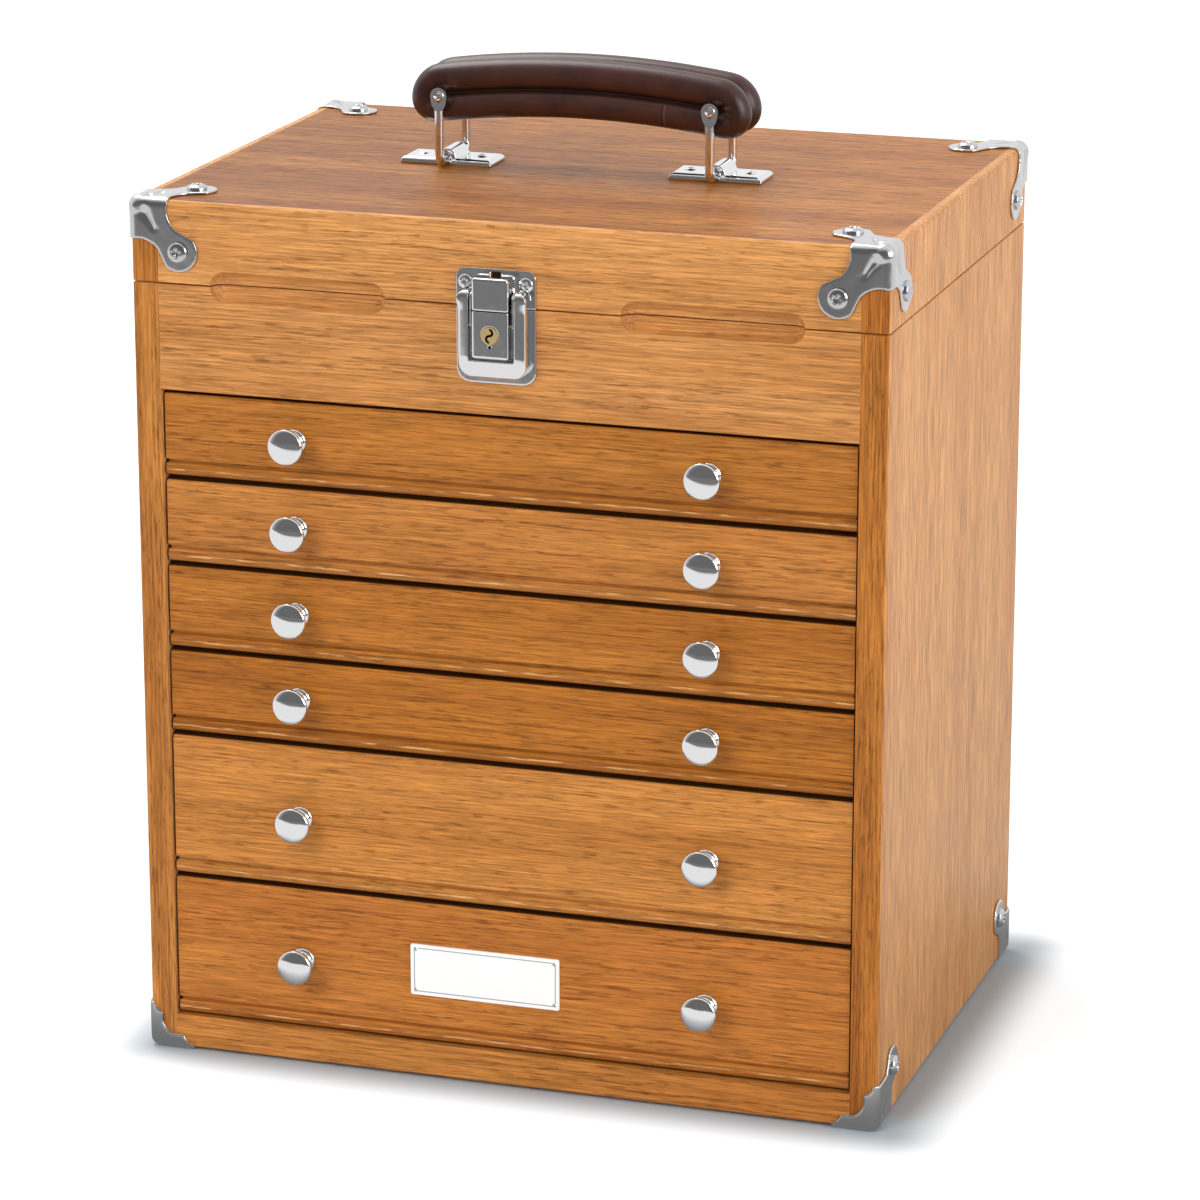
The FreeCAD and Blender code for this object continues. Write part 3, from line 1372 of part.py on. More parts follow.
def handle_grip():
    """The stuffed roll: an arched loop with full edges, creased along the middle of both faces."""
    centre_x = float(S.fitting_offset)
    half_thick = float(S.grip_thickness) / 2
    radius = float(S.grip_height) / 2
    reach = float(S.grip_length) / 2 - radius
    arch = float(S.grip_arch)
    curve = reach * reach / (2 * arch) + arch / 2
    middle_z = float(eye_z)
    axis = Vector(centre_x, float(deck_y), middle_z + arch - curve)
    lean = math.asin(reach / curve)

    def polar(distance, angle):
        return Vector(axis.x + distance * math.sin(angle), axis.y - half_thick,
                      axis.z + distance * math.cos(angle))

    def end_tip(sign):
        end = polar(curve, lean * sign)
        return end + Vector(math.cos(lean) * sign, 0, -math.sin(lean)) * radius

    outer = curve + radius
    inner = curve - radius
    loop = Part.Wire([
        Part.Arc(polar(outer, -lean), polar(outer, 0), polar(outer, lean)).toShape(),
        Part.Arc(polar(outer, lean), end_tip(1), polar(inner, lean)).toShape(),
        Part.Arc(polar(inner, lean), polar(inner, 0), polar(inner, -lean)).toShape(),
        Part.Arc(polar(inner, -lean), end_tip(-1), polar(outer, -lean)).toShape(),
    ])
    roll = Part.Face(loop).extrude(Vector(0, half_thick * 2, 0))
    rim = [edge for edge in roll.Edges if near(abs(edge.CenterOfMass.y - axis.y), half_thick)]
    roll = roll.makeFillet(float(S.grip_edge_radius), rim)
    crease = float(S.crease_width)
    eye_lean = math.asin(float(S.bail_spacing) / 2 / curve)
    for sign in (-1, 1):
        start = polar(curve, -eye_lean)
        start.y = axis.y + (half_thick + crease - float(S.crease_depth)) * sign
        tangent = Vector(math.cos(eye_lean), 0, math.sin(eye_lean))
        disc = Part.Face(Part.Wire(Part.Circle(start, tangent, crease).toShape()))
        cove = disc.revolve(axis, Vector(0, 1, 0), math.degrees(eye_lean) * 2)
        ends = []
        for end_sign in (-1, 1):
            end = polar(curve, eye_lean * end_sign)
            end.y = start.y
            ends.append(Part.makeSphere(crease, end))
        roll = roll.cut([cove] + ends)
    for sign in (-1, 1):
        x = S.fitting_offset + S.bail_spacing / 2 * sign
        roll = roll.cut(rod(S.rivet_radius + S.grip_bore_play, (x, deck_y - bail_half, eye_z),
                            (x, deck_y + bail_half, eye_z)))
    return roll


mounts = []
mount_screws = []
flat_screw = dome(S.mount_screw_radius, S.mount_screw_head, S.screw_shank_radius, S.mount_height)
for side, name in ((-1, "left"), (1, "right")):
    bail_x = S.fitting_offset + S.bail_spacing / 2 * side
    mounts.append(handle_mount(bail_x))
    for sign in (-1, 1):
        screw_x = bail_x + S.mount_screw_place * sign
        mount_screws.append(set_at(flat_screw, screw_x, deck_y, lid_crown + S.mount_height, "up"))
    shaped(f"handle_bail_{name}", bail(bail_x))
    shaped(f"handle_rivet_{name}", rivet(bail_x))
shaped("handle_plates", Part.makeCompound(mounts))
shaped("handle_plate_screws", Part.makeCompound(mount_screws))
shaped("handle_grip", handle_grip())

doc.recompute()
for item in doc.Objects:
    if "Invalid" in item.State or "Error" in item.State:
        raise RuntimeError(f"{item.Name} is {item.State}")
for item in sub_parts:
    if item.Shape.isNull() or not item.Shape.isValid():
        raise RuntimeError(f"{item.Label} has no valid shape")

os.makedirs("parts", exist_ok=True)
for item in sub_parts:
    item.Shape.exportStep(os.path.join("parts", item.Label + ".step"))
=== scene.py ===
# %% [markdown]
# # A top tool chest, dressed in Blender
# The chest is an oak veneered case with six drawers under a hinged lid. Its exact shapes come from the packed
# CAD model, which is loaded as a fixed frame. This notebook gives every piece a finish of its own, makes the
# turned and pressed metal again with rounder forms, and models what the solids leave out: the stuffed leather
# grip, the recessed screw heads and the drawer felts.

# %% Load the frame
import math
import bmesh
import bpy
from mathutils import Matrix, Vector


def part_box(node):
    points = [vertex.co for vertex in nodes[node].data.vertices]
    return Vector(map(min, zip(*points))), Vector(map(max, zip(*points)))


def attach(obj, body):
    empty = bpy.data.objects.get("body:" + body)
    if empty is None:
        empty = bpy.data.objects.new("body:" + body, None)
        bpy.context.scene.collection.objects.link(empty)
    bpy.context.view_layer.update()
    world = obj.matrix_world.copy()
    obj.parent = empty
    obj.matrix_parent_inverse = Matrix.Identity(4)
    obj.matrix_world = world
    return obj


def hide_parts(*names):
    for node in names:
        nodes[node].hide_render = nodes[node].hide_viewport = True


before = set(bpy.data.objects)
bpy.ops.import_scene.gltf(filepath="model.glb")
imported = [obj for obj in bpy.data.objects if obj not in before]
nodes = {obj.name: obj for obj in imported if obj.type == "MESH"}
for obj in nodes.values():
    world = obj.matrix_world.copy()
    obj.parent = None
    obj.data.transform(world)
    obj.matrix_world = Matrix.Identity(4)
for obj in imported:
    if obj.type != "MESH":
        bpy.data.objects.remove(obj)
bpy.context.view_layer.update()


# %% [markdown]
# ## Named places
# All finishes and pieces are placed from the boxes of the CAD nodes, so that they stay on what carries them.
# A millimetre helper keeps the numbers readable, because Blender works in metres. Another puts a new object
# into the scene.

# %% Read the places from the frame
def mm(value):
    """Millimetres as metres."""
    return value / 1000


def linked(name, data):
    """A new object in the scene."""
    thing = bpy.data.objects.new(name, data)
    bpy.context.scene.collection.objects.link(thing)
    return thing


side_low, side_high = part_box("side_left")
front_y = side_low.y
back_y = side_high.y
floor_z = side_low.z
half_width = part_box("side_right")[1].x
crown_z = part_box("lid_top")[1].z
deck_y = (front_y + back_y) / 2
print("front", round(front_y, 5), "half width", round(half_width, 5), "lid top", round(crown_z, 5))


# %% [markdown]
# ## The camera
# The photograph is taken from a little to the right and above, with a long lens, so verticals stay almost
# upright. Azimuth, elevation and distance were fitted to the corners of the wood, and the aim point is moved
# in the picture plane instead of shifting the lens.

# %% Place the camera
azimuth = math.radians(17.982)
elevation = math.radians(16.154)
distance = 2.172
aim_height, aim_right, aim_down = mm(190.2), mm(4.0), mm(3.4)
look = Vector((-math.sin(azimuth) * math.cos(elevation),
               math.cos(azimuth) * math.cos(elevation), -math.sin(elevation)))
across = Vector((math.cos(azimuth), math.sin(azimuth), 0))
upward = across.cross(look)
aim = Vector((0, deck_y, aim_height)) + across * aim_right - upward * aim_down
camera_data = bpy.data.cameras.new("camera")
camera_data.lens = 147.3
camera_data.sensor_width = 36
camera_data.clip_start = 0.05
camera_data.clip_end = 60
camera = linked("camera", camera_data)
camera.location = aim - look * distance
camera.rotation_mode = "QUATERNION"
camera.rotation_quaternion = look.to_track_quat("-Z", "Y")
bpy.context.scene.camera = camera
print("camera at", [round(v, 3) for v in camera.location])


# %% [markdown]
# ## Node helpers
# Every finish below is a small node tree. These helpers keep the trees short: they add nodes and wire their
# inputs, start a material or a node group, and lay a colour over a finished material. A value that is a socket
# is linked, anything else is set on the input.

# %% Helpers for node trees
def feed(tree, socket, value):
    """Links a socket to an input, or sets the input to a plain value."""
    if isinstance(value, bpy.types.NodeSocket):
        tree.links.new(value, socket)
    elif value is not None:
        socket.default_value = value


def add(tree, kind, inputs=None, **options):
    """A shader node with its options set and its inputs fed, by name or number."""
    node = tree.nodes.new("ShaderNode" + kind)
    for name, value in options.items():
        setattr(node, name, value)
    for key, value in (inputs or {}).items():
        feed(tree, node.inputs[key], value)
    return node


def math_node(tree, operation, first, second=None, third=None, clamp=False):
    """The result of one sum."""
    return add(tree, "Math", {0: first, 1: second, 2: third}, operation=operation, use_clamp=clamp).outputs[0]


def times(tree, first, second):
    """Two values multiplied."""
    return math_node(tree, "MULTIPLY", first, second)


def minus(tree, first, second):
    """One value less another."""
    return math_node(tree, "SUBTRACT", first, second)


def ramp_mask(tree, value, low, high, to_low=0.0, to_high=1.0):
    """A smooth step between two values."""
    node = add(tree, "MapRange", {0: value, 1: low, 2: high, 3: to_low, 4: to_high},
               interpolation_type="SMOOTHSTEP")
    return node.outputs[0]


def blend_colour(tree, factor, first, second, mode="MIX"):
    """A mix of two colours."""
    return add(tree, "Mix", {0: factor, 6: first, 7: second}, data_type="RGBA", blend_type=mode).outputs[2]


def shaded(tree, colour, shade):
    """A colour multiplied by a grey value."""
    grey = add(tree, "CombineColor", {0: shade, 1: shade, 2: shade}).outputs[0]
    return blend_colour(tree, 1.0, colour, grey, "MULTIPLY")


def split(tree, vector):
    """The three numbers of a vector."""
    return add(tree, "SeparateXYZ", {0: vector}).outputs


def off_centre(tree, value, centre):
    """How far a value lies from a centre, to either side."""
    return math_node(tree, "ABSOLUTE", minus(tree, value, centre))


def away_from(tree, vector, point):
    """The distance of a vector from a point."""
    return add(tree, "VectorMath", {0: vector, 1: point}, operation="DISTANCE").outputs["Value"]


def bumped(tree, shader, strength, distance, height):
    """Wires a bump to a shader."""
    bump = add(tree, "Bump", {"Strength": strength, "Distance": distance, "Height": height})
    feed(tree, shader.inputs["Normal"], bump.outputs[0])


def stretched(tree, vector, scale, offset=(0, 0, 0), turn=(0, 0, 0)):
    """Coordinates stretched by a scale for each axis."""
    return add(tree, "Mapping", {0: vector, 1: offset, 2: turn, 3: scale}).outputs[0]


def noise(tree, vector, scale, detail=3.0, roughness=0.55):
    """The grey value of a noise."""
    return add(tree, "TexNoise", {"Vector": vector, "Scale": scale, "Detail": detail,
                                  "Roughness": roughness}).outputs[0]


def srgb(red, green, blue):
    """A colour from screen values of 0 to 255, as the linear colour that nodes use."""
    row = [c / 255 for c in (red, green, blue)]
    row = [c / 12.92 if c <= 0.04045 else ((c + 0.055) / 1.055) ** 2.4 for c in row]
    return (*row, 1.0)


def new_group(name, inputs, outputs):
    """An empty node group with named inputs and outputs."""
    tree = bpy.data.node_groups.new(name, "ShaderNodeTree")
    for label, kind, value in inputs:
        socket = tree.interface.new_socket(label, in_out="INPUT", socket_type="NodeSocket" + kind)
        if value is not None:
            socket.default_value = value
    for label, kind in outputs:
        tree.interface.new_socket(label, in_out="OUTPUT", socket_type="NodeSocket" + kind)
    start = tree.nodes.new("NodeGroupInput")
    end = tree.nodes.new("NodeGroupOutput")
    return tree, start.outputs, end.inputs


def new_material(name):
    """A material with its principled shader, ready for links."""
    material = bpy.data.materials.new(name)
    material.use_nodes = True
    tree = material.node_tree
    shader = tree.nodes["Principled BSDF"]
    place = add(tree, "TexCoord").outputs["Object"]
    return material, tree, shader, place


def reopened(material):
    """The tree, the base colour input and the object coordinates of a finished material."""
    tree = material.node_tree
    place = add(tree, "TexCoord").outputs["Object"]
    return tree, tree.nodes["Principled BSDF"].inputs["Base Color"], place


def colour_over(tree, base, mask, colour):
    """Mixes one more colour into the base colour of a finished material."""
    under = base.links[0].from_socket if base.is_linked else tuple(base.default_value)
    feed(tree, base, blend_colour(tree, mask, under, colour))


def finish_nodes(material, *names):
    """Gives CAD nodes one material."""
    for name in names:
        nodes[name].data.materials.clear()
        nodes[name].data.materials.append(material)


print("helpers ready")


# %% [markdown]
# ## Studio
# The chest stands on a plain white surface in soft light. A product studio is dark behind the camera, and that
# is what makes bright plating look like metal: its front faces show grey while the floor under them shows
# white. The world is therefore one even light for matt surfaces, plain white for the camera, and for mirror
# rays white all round with a dark quarter in front that reaches up to nearly overhead.

# %% The world
matt_light = 0.5
front_darkness = 0.84
world = bpy.data.worlds.new("studio")
bpy.context.scene.world = world
world.use_nodes = True
tree = world.node_tree
tree.nodes.clear()
ray = add(tree, "LightPath").outputs
direction = add(tree, "TexCoord").outputs["Generated"]
parts = split(tree, direction)
forward = times(tree, parts[1], -1.0)
frontal = ramp_mask(tree, forward, 0.1, 0.75)
height = ramp_mask(tree, parts[2], 0.84, 0.98)
dark_part = times(tree, frontal, minus(tree, 1.0, height))
mirror_light = minus(tree, 1.0, times(tree, dark_part, front_darkness))
even = add(tree, "Background", {"Color": (1, 1, 1, 1), "Strength": matt_light})
white = add(tree, "Background", {"Color": (1, 1, 1, 1), "Strength": 1.0})
mirrored = add(tree, "Background", {"Color": (1, 1, 1, 1), "Strength": mirror_light})
seen = add(tree, "MixShader", {0: ray["Is Glossy Ray"], 1: even.outputs[0], 2: mirrored.outputs[0]})
seen = add(tree, "MixShader", {0: ray["Is Camera Ray"], 1: seen.outputs[0], 2: white.outputs[0]})
add(tree, "OutputWorld", {0: seen.outputs[0]})
print("world made")

# %% [markdown]
# The floor is a large sheet that stays white for the camera and keeps the soft shadow of the chest. The lift
# that keeps it white fades out close to the chest, so the real contact shadow shows there, deepened by a
# painted shadow band round the foot. Mirror rays see a painted shadow beside the chest, white around it and
# grey again further out, like the end of a studio table.

# %% The floor
floor_reach = 12
floor_grey = (0.76, 0.76, 0.76, 1)
shadow_grey = (0.42, 0.457, 0.485, 1)
painted_shadow_reach = mm(32)
floor_form = bmesh.new()
bmesh.ops.create_grid(floor_form, x_segments=2, y_segments=2, size=floor_reach)
floor_mesh = bpy.data.meshes.new("floor")
floor_form.to_mesh(floor_mesh)
floor_form.free()
floor = linked("floor", floor_mesh)
floor_finish, tree, shader, place = new_material("floor_white")
ray = add(tree, "LightPath").outputs
feed(tree, shader.inputs["Base Color"], blend_colour(tree, ray["Is Camera Ray"], floor_grey, shadow_grey))
shader.inputs["Roughness"].default_value = 0.9
shader.inputs["Specular IOR Level"].default_value = 0.1
parts = split(tree, place)
outside = []
for axis, centre, half in ((0, mm(4), half_width), (1, deck_y + mm(2), back_y - deck_y)):
    beyond = minus(tree, off_centre(tree, parts[axis], centre), half)
    outside.append(math_node(tree, "MAXIMUM", beyond, 0.0))
gap = add(tree, "CombineXYZ", {0: outside[0], 1: outside[1]}).outputs[0]
gap = add(tree, "VectorMath", {0: gap}, operation="LENGTH").outputs["Value"]
painted_shadow_lift = ramp_mask(tree, parts[1], 0.1, 1.0, 0.68, 0.88)
# Painted shadow: the lift fades to nothing close to the foot, whatever light falls there.
painted_shadow_lift = times(tree, painted_shadow_lift, ramp_mask(tree, gap, 0.0, painted_shadow_reach))
lift = add(tree, "Emission", {"Color": (1, 1, 1, 1), "Strength": painted_shadow_lift})
lifted = add(tree, "AddShader", {0: shader.outputs[0], 1: lift.outputs[0]})
along = math_node(tree, "MULTIPLY_ADD", parts[0], -0.35, parts[1])
painted_mirror_floor = ramp_mask(tree, along, -1.25, -0.8, 0.21, 0.95)
# Painted shadow for mirror rays: the floor they see is darker close to the chest.
painted_mirror_floor = times(tree, painted_mirror_floor, ramp_mask(tree, gap, mm(10), mm(120), 0.27, 1.0))
table = add(tree, "Emission", {"Color": (1, 1, 1, 1), "Strength": painted_mirror_floor})
mixed = add(tree, "MixShader", {0: ray["Is Camera Ray"], 1: shader.outputs[0], 2: lifted.outputs[0]})
mixed = add(tree, "MixShader", {0: ray["Is Glossy Ray"], 1: mixed.outputs[0], 2: table.outputs[0]})
tree.links.new(mixed.outputs[0], tree.nodes["Material Output"].inputs[0])
floor_mesh.materials.append(floor_finish)
print("floor made")


# %% [markdown]
# Three large soft lamps do the rest: one high and a little behind on the left, which throws the short shadow
# to the right, one from the camera's side and one from the right for the pale side board.

# %% The lamps
def soft_lamp(name, place_at, size, power):
    """A square area lamp that looks at the chest."""
    data = bpy.data.lights.new(name, "AREA")
    data.shape = "SQUARE"
    data.size = size
    data.energy = power
    lamp = linked(name, data)
    lamp.location = place_at
    lamp.rotation_mode = "QUATERNION"
    lamp.rotation_quaternion = (Vector((0, 0, 0.2)) - Vector(place_at)).to_track_quat("-Z", "Y")
    return lamp


soft_lamp("lamp_high", (-0.9, 0.5, 2.0), 1.2, 26)
soft_lamp("lamp_front", (-0.9, -2.2, 1.5), 1.4, 38).visible_glossy = False
soft_lamp("lamp_right", (2.2, -0.9, 1.0), 1.4, 30)
bpy.context.scene.view_settings.view_transform = "Standard"
print("lamps made")


# %% [markdown]
# ## Oak
# Oiled oak has four layers that are seen from a metre away: slow patches of tone, growth lines that run with
# the board and arch in a flat-sawn sheet, fine fibres, and short dark pores. One node group makes them all,
# and each board places it with its own direction, colours and strengths, so that no two boards match.

# %% The oak grain group
oak, grain_in, grain_out = new_group(
    "oak_grain",
    [("Vector", "Vector", None), ("Dark", "Color", (0.3, 0.12, 0.03, 1)),
     ("Light", "Color", (0.6, 0.28, 0.09, 1)), ("Line Colour", "Color", (0.2, 0.07, 0.02, 1)),
     ("Line Spacing", "Float", 300.0), ("Line Strength", "Float", 0.5), ("Arch", "Float", 0.0),
     ("Patch Strength", "Float", 1.0), ("Fibre Strength", "Float", 0.5), ("Pore Strength", "Float", 0.5)],
    [("Color", "Color"), ("Height", "Float"), ("Roughness", "Float")])


def board_noise(scale, offset=(0, 0, 0), detail=2.0, roughness=0.5):
    """A noise drawn out along the board."""
    return noise(oak, stretched(oak, grain_in["Vector"], scale, offset), 1.0, detail, roughness)


def swing(value, amount):
    """A grey value moved to lie about nought, then scaled."""
    return times(oak, minus(oak, value, 0.5), amount)


slow_bend = 0.024
small_bend = 0.005
axes = split(oak, grain_in["Vector"])
drift = board_noise((2.5, 16, 16))
wander = board_noise((14, 90, 90), (3, 1, 2))
arch = times(oak, times(oak, axes[0], axes[0]), grain_in["Arch"])
warped = math_node(oak, "ADD", axes[1], swing(drift, slow_bend))
warped = math_node(oak, "ADD", warped, swing(wander, small_bend))
warped = math_node(oak, "ADD", warped, arch)
rings = math_node(oak, "FRACT", times(oak, warped, grain_in["Line Spacing"]))
onset = ramp_mask(oak, rings, 0.0, 0.1)
fade = math_node(oak, "POWER", minus(oak, 1.0, rings), 4.0)
broken = board_noise((9, 260, 260), (1, 4, 2), 3.0, 0.6)
line = times(oak, times(oak, onset, fade), ramp_mask(oak, broken, 0.4, 0.56))
patches = ramp_mask(oak, board_noise((2.2, 42, 42), (7, 3, 1), 3.0, 0.55), 0.3, 0.7)
patches = math_node(oak, "ADD", swing(patches, grain_in["Patch Strength"]), 0.5, clamp=True)
print("oak lines and patches", len(oak.nodes), "nodes")

# %% [markdown]
# The fibres are a fine noise with broader streaks in it. The pores are short dark dashes that crowd along the
# growth lines, and they are a little rougher. Fibres, pores and lines also make the height for the bump.

# %% Fibres and pores
base_roughness = 0.38
streaks = board_noise((7, 330, 330), (4, 2, 6), 2.0, 0.6)
fibres = swing(board_noise((42, 1400, 1400), (2, 7, 3), 2.0, 0.6), 2.2)
fibres = math_node(oak, "ADD", fibres, swing(streaks, 0.25))
fibres = times(oak, fibres, grain_in["Fibre Strength"])
pores = board_noise((120, 1350, 1350), (5, 2, 8), 1.5)
crowded = math_node(oak, "MULTIPLY_ADD", line, 0.5, ramp_mask(oak, broken, 0.4, 0.6, 0.25, 0.55))
pores = times(oak, ramp_mask(oak, pores, 0.54, 0.62), crowded)
pores = times(oak, pores, grain_in["Pore Strength"])
line = times(oak, line, grain_in["Line Strength"])
tone = blend_colour(oak, patches, grain_in["Dark"], grain_in["Light"])
tone = blend_colour(oak, line, tone, grain_in["Line Colour"])
tone = blend_colour(oak, pores, tone, grain_in["Line Colour"])
feed(oak, grain_out["Color"], shaded(oak, tone, math_node(oak, "ADD", 1.0, fibres)))
rise = minus(oak, times(oak, fibres, 0.5), pores)
feed(oak, grain_out["Height"], minus(oak, rise, times(oak, line, 0.3)))
feed(oak, grain_out["Roughness"], math_node(oak, "ADD", base_roughness, times(oak, pores, 0.3)))
print("oak group with", len(oak.nodes), "nodes")


# %% [markdown]
# A board is one material: the grain turned so that its length runs with the board and its lines lie in the face
# that shows, shifted to a place of its own, under a thin satin coat. Front boards run from left to right, side
# boards run up and down.

# %% Oak boards
FRONT_GRAIN = (math.radians(90), 0, 0)
TOP_GRAIN = (0, 0, 0)
SIDE_GRAIN = (0, math.radians(90), 0)
STRIP_GRAIN = (math.radians(90), 0, math.radians(90))


def oak_grain(tree, place, turn, offset, dark, light, line, spacing=300, line_strength=0.6, arch=0.0, patch=1.0,
              fibre=0.75, pore=0.7):
    """The grain group placed in a tree for one board, with its colours as screen values."""
    return add(tree, "Group", {
        "Vector": stretched(tree, place, (1, 1, 1), offset, turn), "Dark": srgb(*dark), "Light": srgb(*light),
        "Line Colour": srgb(*line), "Line Spacing": spacing, "Line Strength": line_strength, "Arch": arch,
        "Patch Strength": patch, "Fibre Strength": fibre, "Pore Strength": pore}, node_tree=oak).outputs


def oiled(tree, shader, colour, roughness, height, coat=0.04):
    """Wires an oiled finish: a soft shine over the open pores."""
    feed(tree, shader.inputs["Base Color"], colour)
    feed(tree, shader.inputs["Roughness"], roughness)
    bumped(tree, shader, 0.25, mm(0.2), height)
    shader.inputs["Specular IOR Level"].default_value = 0.15
    shader.inputs["Coat Weight"].default_value = coat
    shader.inputs["Coat Roughness"].default_value = 0.25


def oak_board(name, turn, offset, dark, light, line, *, coat=0.04, **strengths):
    """A material for one board of oiled oak."""
    material, tree, shader, place = new_material(name)
    grain = oak_grain(tree, place, turn, offset, dark, light, line, **strengths)
    oiled(tree, shader, grain["Color"], grain["Roughness"], grain["Height"], coat)
    return material


# %% [markdown]
# Each drawer front has a groove and a bead along its lower edge. A painted highlight lies along the bead as a
# broken pale line. The first millimetres of the edges carry painted shade, so the gap between two fronts is a
# dark line.

# %% Drawer fronts
bead_top = mm(3.1)


def drawer_board(number, dark, light):
    """The material of one drawer front, with a painted highlight on its bead and painted shade on its edges."""
    low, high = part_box(f"drawer_{number}_front")
    material, tree, shader, place = new_material(f"oak_drawer_{number}")
    grain = oak_grain(tree, place, FRONT_GRAIN, (0.37 * number, 0.11 * number, 0.23 * number), dark, light,
                      (84, 40, 10), spacing=150 + 30 * number, line_strength=0.3, patch=0.6)
    parts = split(tree, place)
    rise = minus(tree, parts[2], low.z)
    bead = ramp_mask(tree, rise, mm(4.6), mm(5.4), 0.3, 0.0)
    tone = blend_colour(tree, bead, grain["Color"], srgb(96, 48, 14))
    # Painted highlight: a broken pale line along the top of the bead.
    painted_bead_highlight = noise(tree, stretched(tree, place, (70, 1, 900)), 1.0, 2.0, 0.6)
    painted_bead_highlight = times(tree, ramp_mask(tree, painted_bead_highlight, 0.46, 0.62, 0.05, 0.6),
                ramp_mask(tree, off_centre(tree, rise, bead_top), mm(0.1), mm(0.7), 1.0, 0.0))
    tone = blend_colour(tree, painted_bead_highlight, tone, srgb(240, 186, 122))
    # Painted shade: the edges darken a little behind the face of the front, so the gaps between fronts read as
    # dark lines.
    middle = (high.z - low.z) / 2
    rim = minus(tree, off_centre(tree, rise, middle), middle)
    ends = minus(tree, math_node(tree, "ABSOLUTE", parts[0]), high.x)
    rim = math_node(tree, "MAXIMUM", rim, ends)
    painted_gap_shade = times(tree, ramp_mask(tree, rim, mm(-0.9), mm(-0.4), 0.0, 0.95),
                  ramp_mask(tree, parts[1], low.y + mm(0.5), low.y + mm(1.1)))
    painted_gap_shade = times(tree, painted_gap_shade, ramp_mask(tree, parts[1], low.y + mm(2.8), low.y + mm(5.5), 1.0, 0.3))
    oiled(tree, shader, blend_colour(tree, painted_gap_shade, tone, srgb(36, 18, 7)), grain["Roughness"], grain["Height"])
    finish_nodes(material, f"drawer_{number}_front")


drawer_board(1, (155, 93, 35), (180, 116, 49))
drawer_board(2, (166, 103, 46), (193, 128, 62))
drawer_board(3, (150, 88, 29), (182, 116, 46))
drawer_board(4, (140, 79, 24), (177, 110, 39))
drawer_board(5, (163, 100, 41), (198, 133, 65))
drawer_board(6, (168, 99, 40), (191, 123, 55))
print("drawer fronts done")


# %% [markdown]
# The other boards follow. The lid's front carries painted shade inside the slot of the strike plate, and the
# lid's top has painted shade that makes it a little darker towards its left end.

# %% Fronts, rail and lid boards
till_oak = oak_board("oak_till_front", FRONT_GRAIN, (0.9, 0.31, 0.12), (176, 117, 60), (202, 143, 86),
                     (104, 56, 18), spacing=220, line_strength=0.35, patch=0.7)
rail_oak = oak_board("oak_rail", FRONT_GRAIN, (1.4, 0.2, 0.5), (164, 98, 39), (188, 124, 60), (92, 46, 12),
                     spacing=300)
lid_front_oak = oak_board("oak_lid_front", FRONT_GRAIN, (2.2, 0.7, 0.31), (181, 122, 65), (205, 146, 86),
                          (110, 60, 20), spacing=240, line_strength=0.3, patch=0.7)
lid_top_oak = oak_board("oak_lid_top", TOP_GRAIN, (0.4, 0.9, 0.2), (148, 88, 34), (174, 112, 47),
                        (92, 46, 18), spacing=280, line_strength=0.6, fibre=1.7, coat=0.0)
back_oak = oak_board("oak_back", SIDE_GRAIN, (1.7, 0.6, 0.9), (188, 132, 84), (208, 152, 104),
                     (146, 88, 48), spacing=260, line_strength=0.5, arch=0.05)
finish_nodes(till_oak, "till_front")
finish_nodes(rail_oak, "front_rail")
finish_nodes(lid_front_oak, "lid_front", "lid_back")
finish_nodes(lid_top_oak, "lid_top")
finish_nodes(back_oak, "back_panel", "base_panel", "till_floor")
strike_low, strike_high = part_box("strike_plate")
slot_drop = mm(4.6)
slot_place = ((strike_low.x + strike_high.x) / 2, strike_high.y, strike_high.z - slot_drop)
# Painted shade: the wood seen through the slot of the strike plate is coloured nearly black.
tree, base, place = reopened(lid_front_oak)
painted_slot_shade = ramp_mask(tree, away_from(tree, place, slot_place), mm(3.4), mm(4.2), 0.95, 0.0)
colour_over(tree, base, painted_slot_shade, srgb(24, 12, 5))
# Painted shade: the lid's top is multiplied darker towards its left end.
tree, base, place = reopened(lid_top_oak)
shade = ramp_mask(tree, split(tree, place)[0], -half_width, half_width, 0.84, 1.1)
feed(tree, base, shaded(tree, base.links[0].from_socket, shade))
print("oak boards done")


# %% [markdown]
# The sides are plywood with a pale veneer, and solid strips cover their front and back edges. The strips are
# darker, and their grain runs up the narrow face. A mask on the depth of the board puts both into one material,
# with the change where the rounded corner turns. Painted shade makes the veneer a little darker
# towards the floor.

# %% Side boards with edge strips
strip_inset, strip_blur = mm(0.7), mm(0.15)


def side_board(name, offset, strip_dark, strip_light):
    """A material for one side board with its edge strips."""
    material, tree, shader, place = new_material(name)
    panel = oak_grain(tree, place, SIDE_GRAIN, offset, (196, 134, 76), (220, 160, 98), (140, 82, 44),
                      spacing=380, line_strength=0.9, arch=0.12, patch=0.7, fibre=1.1, pore=0.35)
    strip = oak_grain(tree, place, STRIP_GRAIN, (offset[2], offset[0], offset[1]), strip_dark, strip_light,
                      (84, 40, 10), spacing=420, line_strength=0.6)
    parts = split(tree, place)
    # Painted shade: the veneer colour is multiplied darker towards the floor.
    veneer = shaded(tree, panel["Color"], ramp_mask(tree, parts[2], floor_z - mm(60), crown_z, 0.8, 1.04))
    edge = back_y - deck_y - strip_inset
    edge_mask = ramp_mask(tree, off_centre(tree, parts[1], deck_y), edge - strip_blur, edge + strip_blur)
    outputs = [blend_colour(tree, edge_mask, veneer, strip["Color"])]
    for label in ("Roughness", "Height"):
        part = minus(tree, strip[label], panel[label])
        outputs.append(math_node(tree, "MULTIPLY_ADD", part, edge_mask, panel[label]))
    oiled(tree, shader, *outputs)
    return material


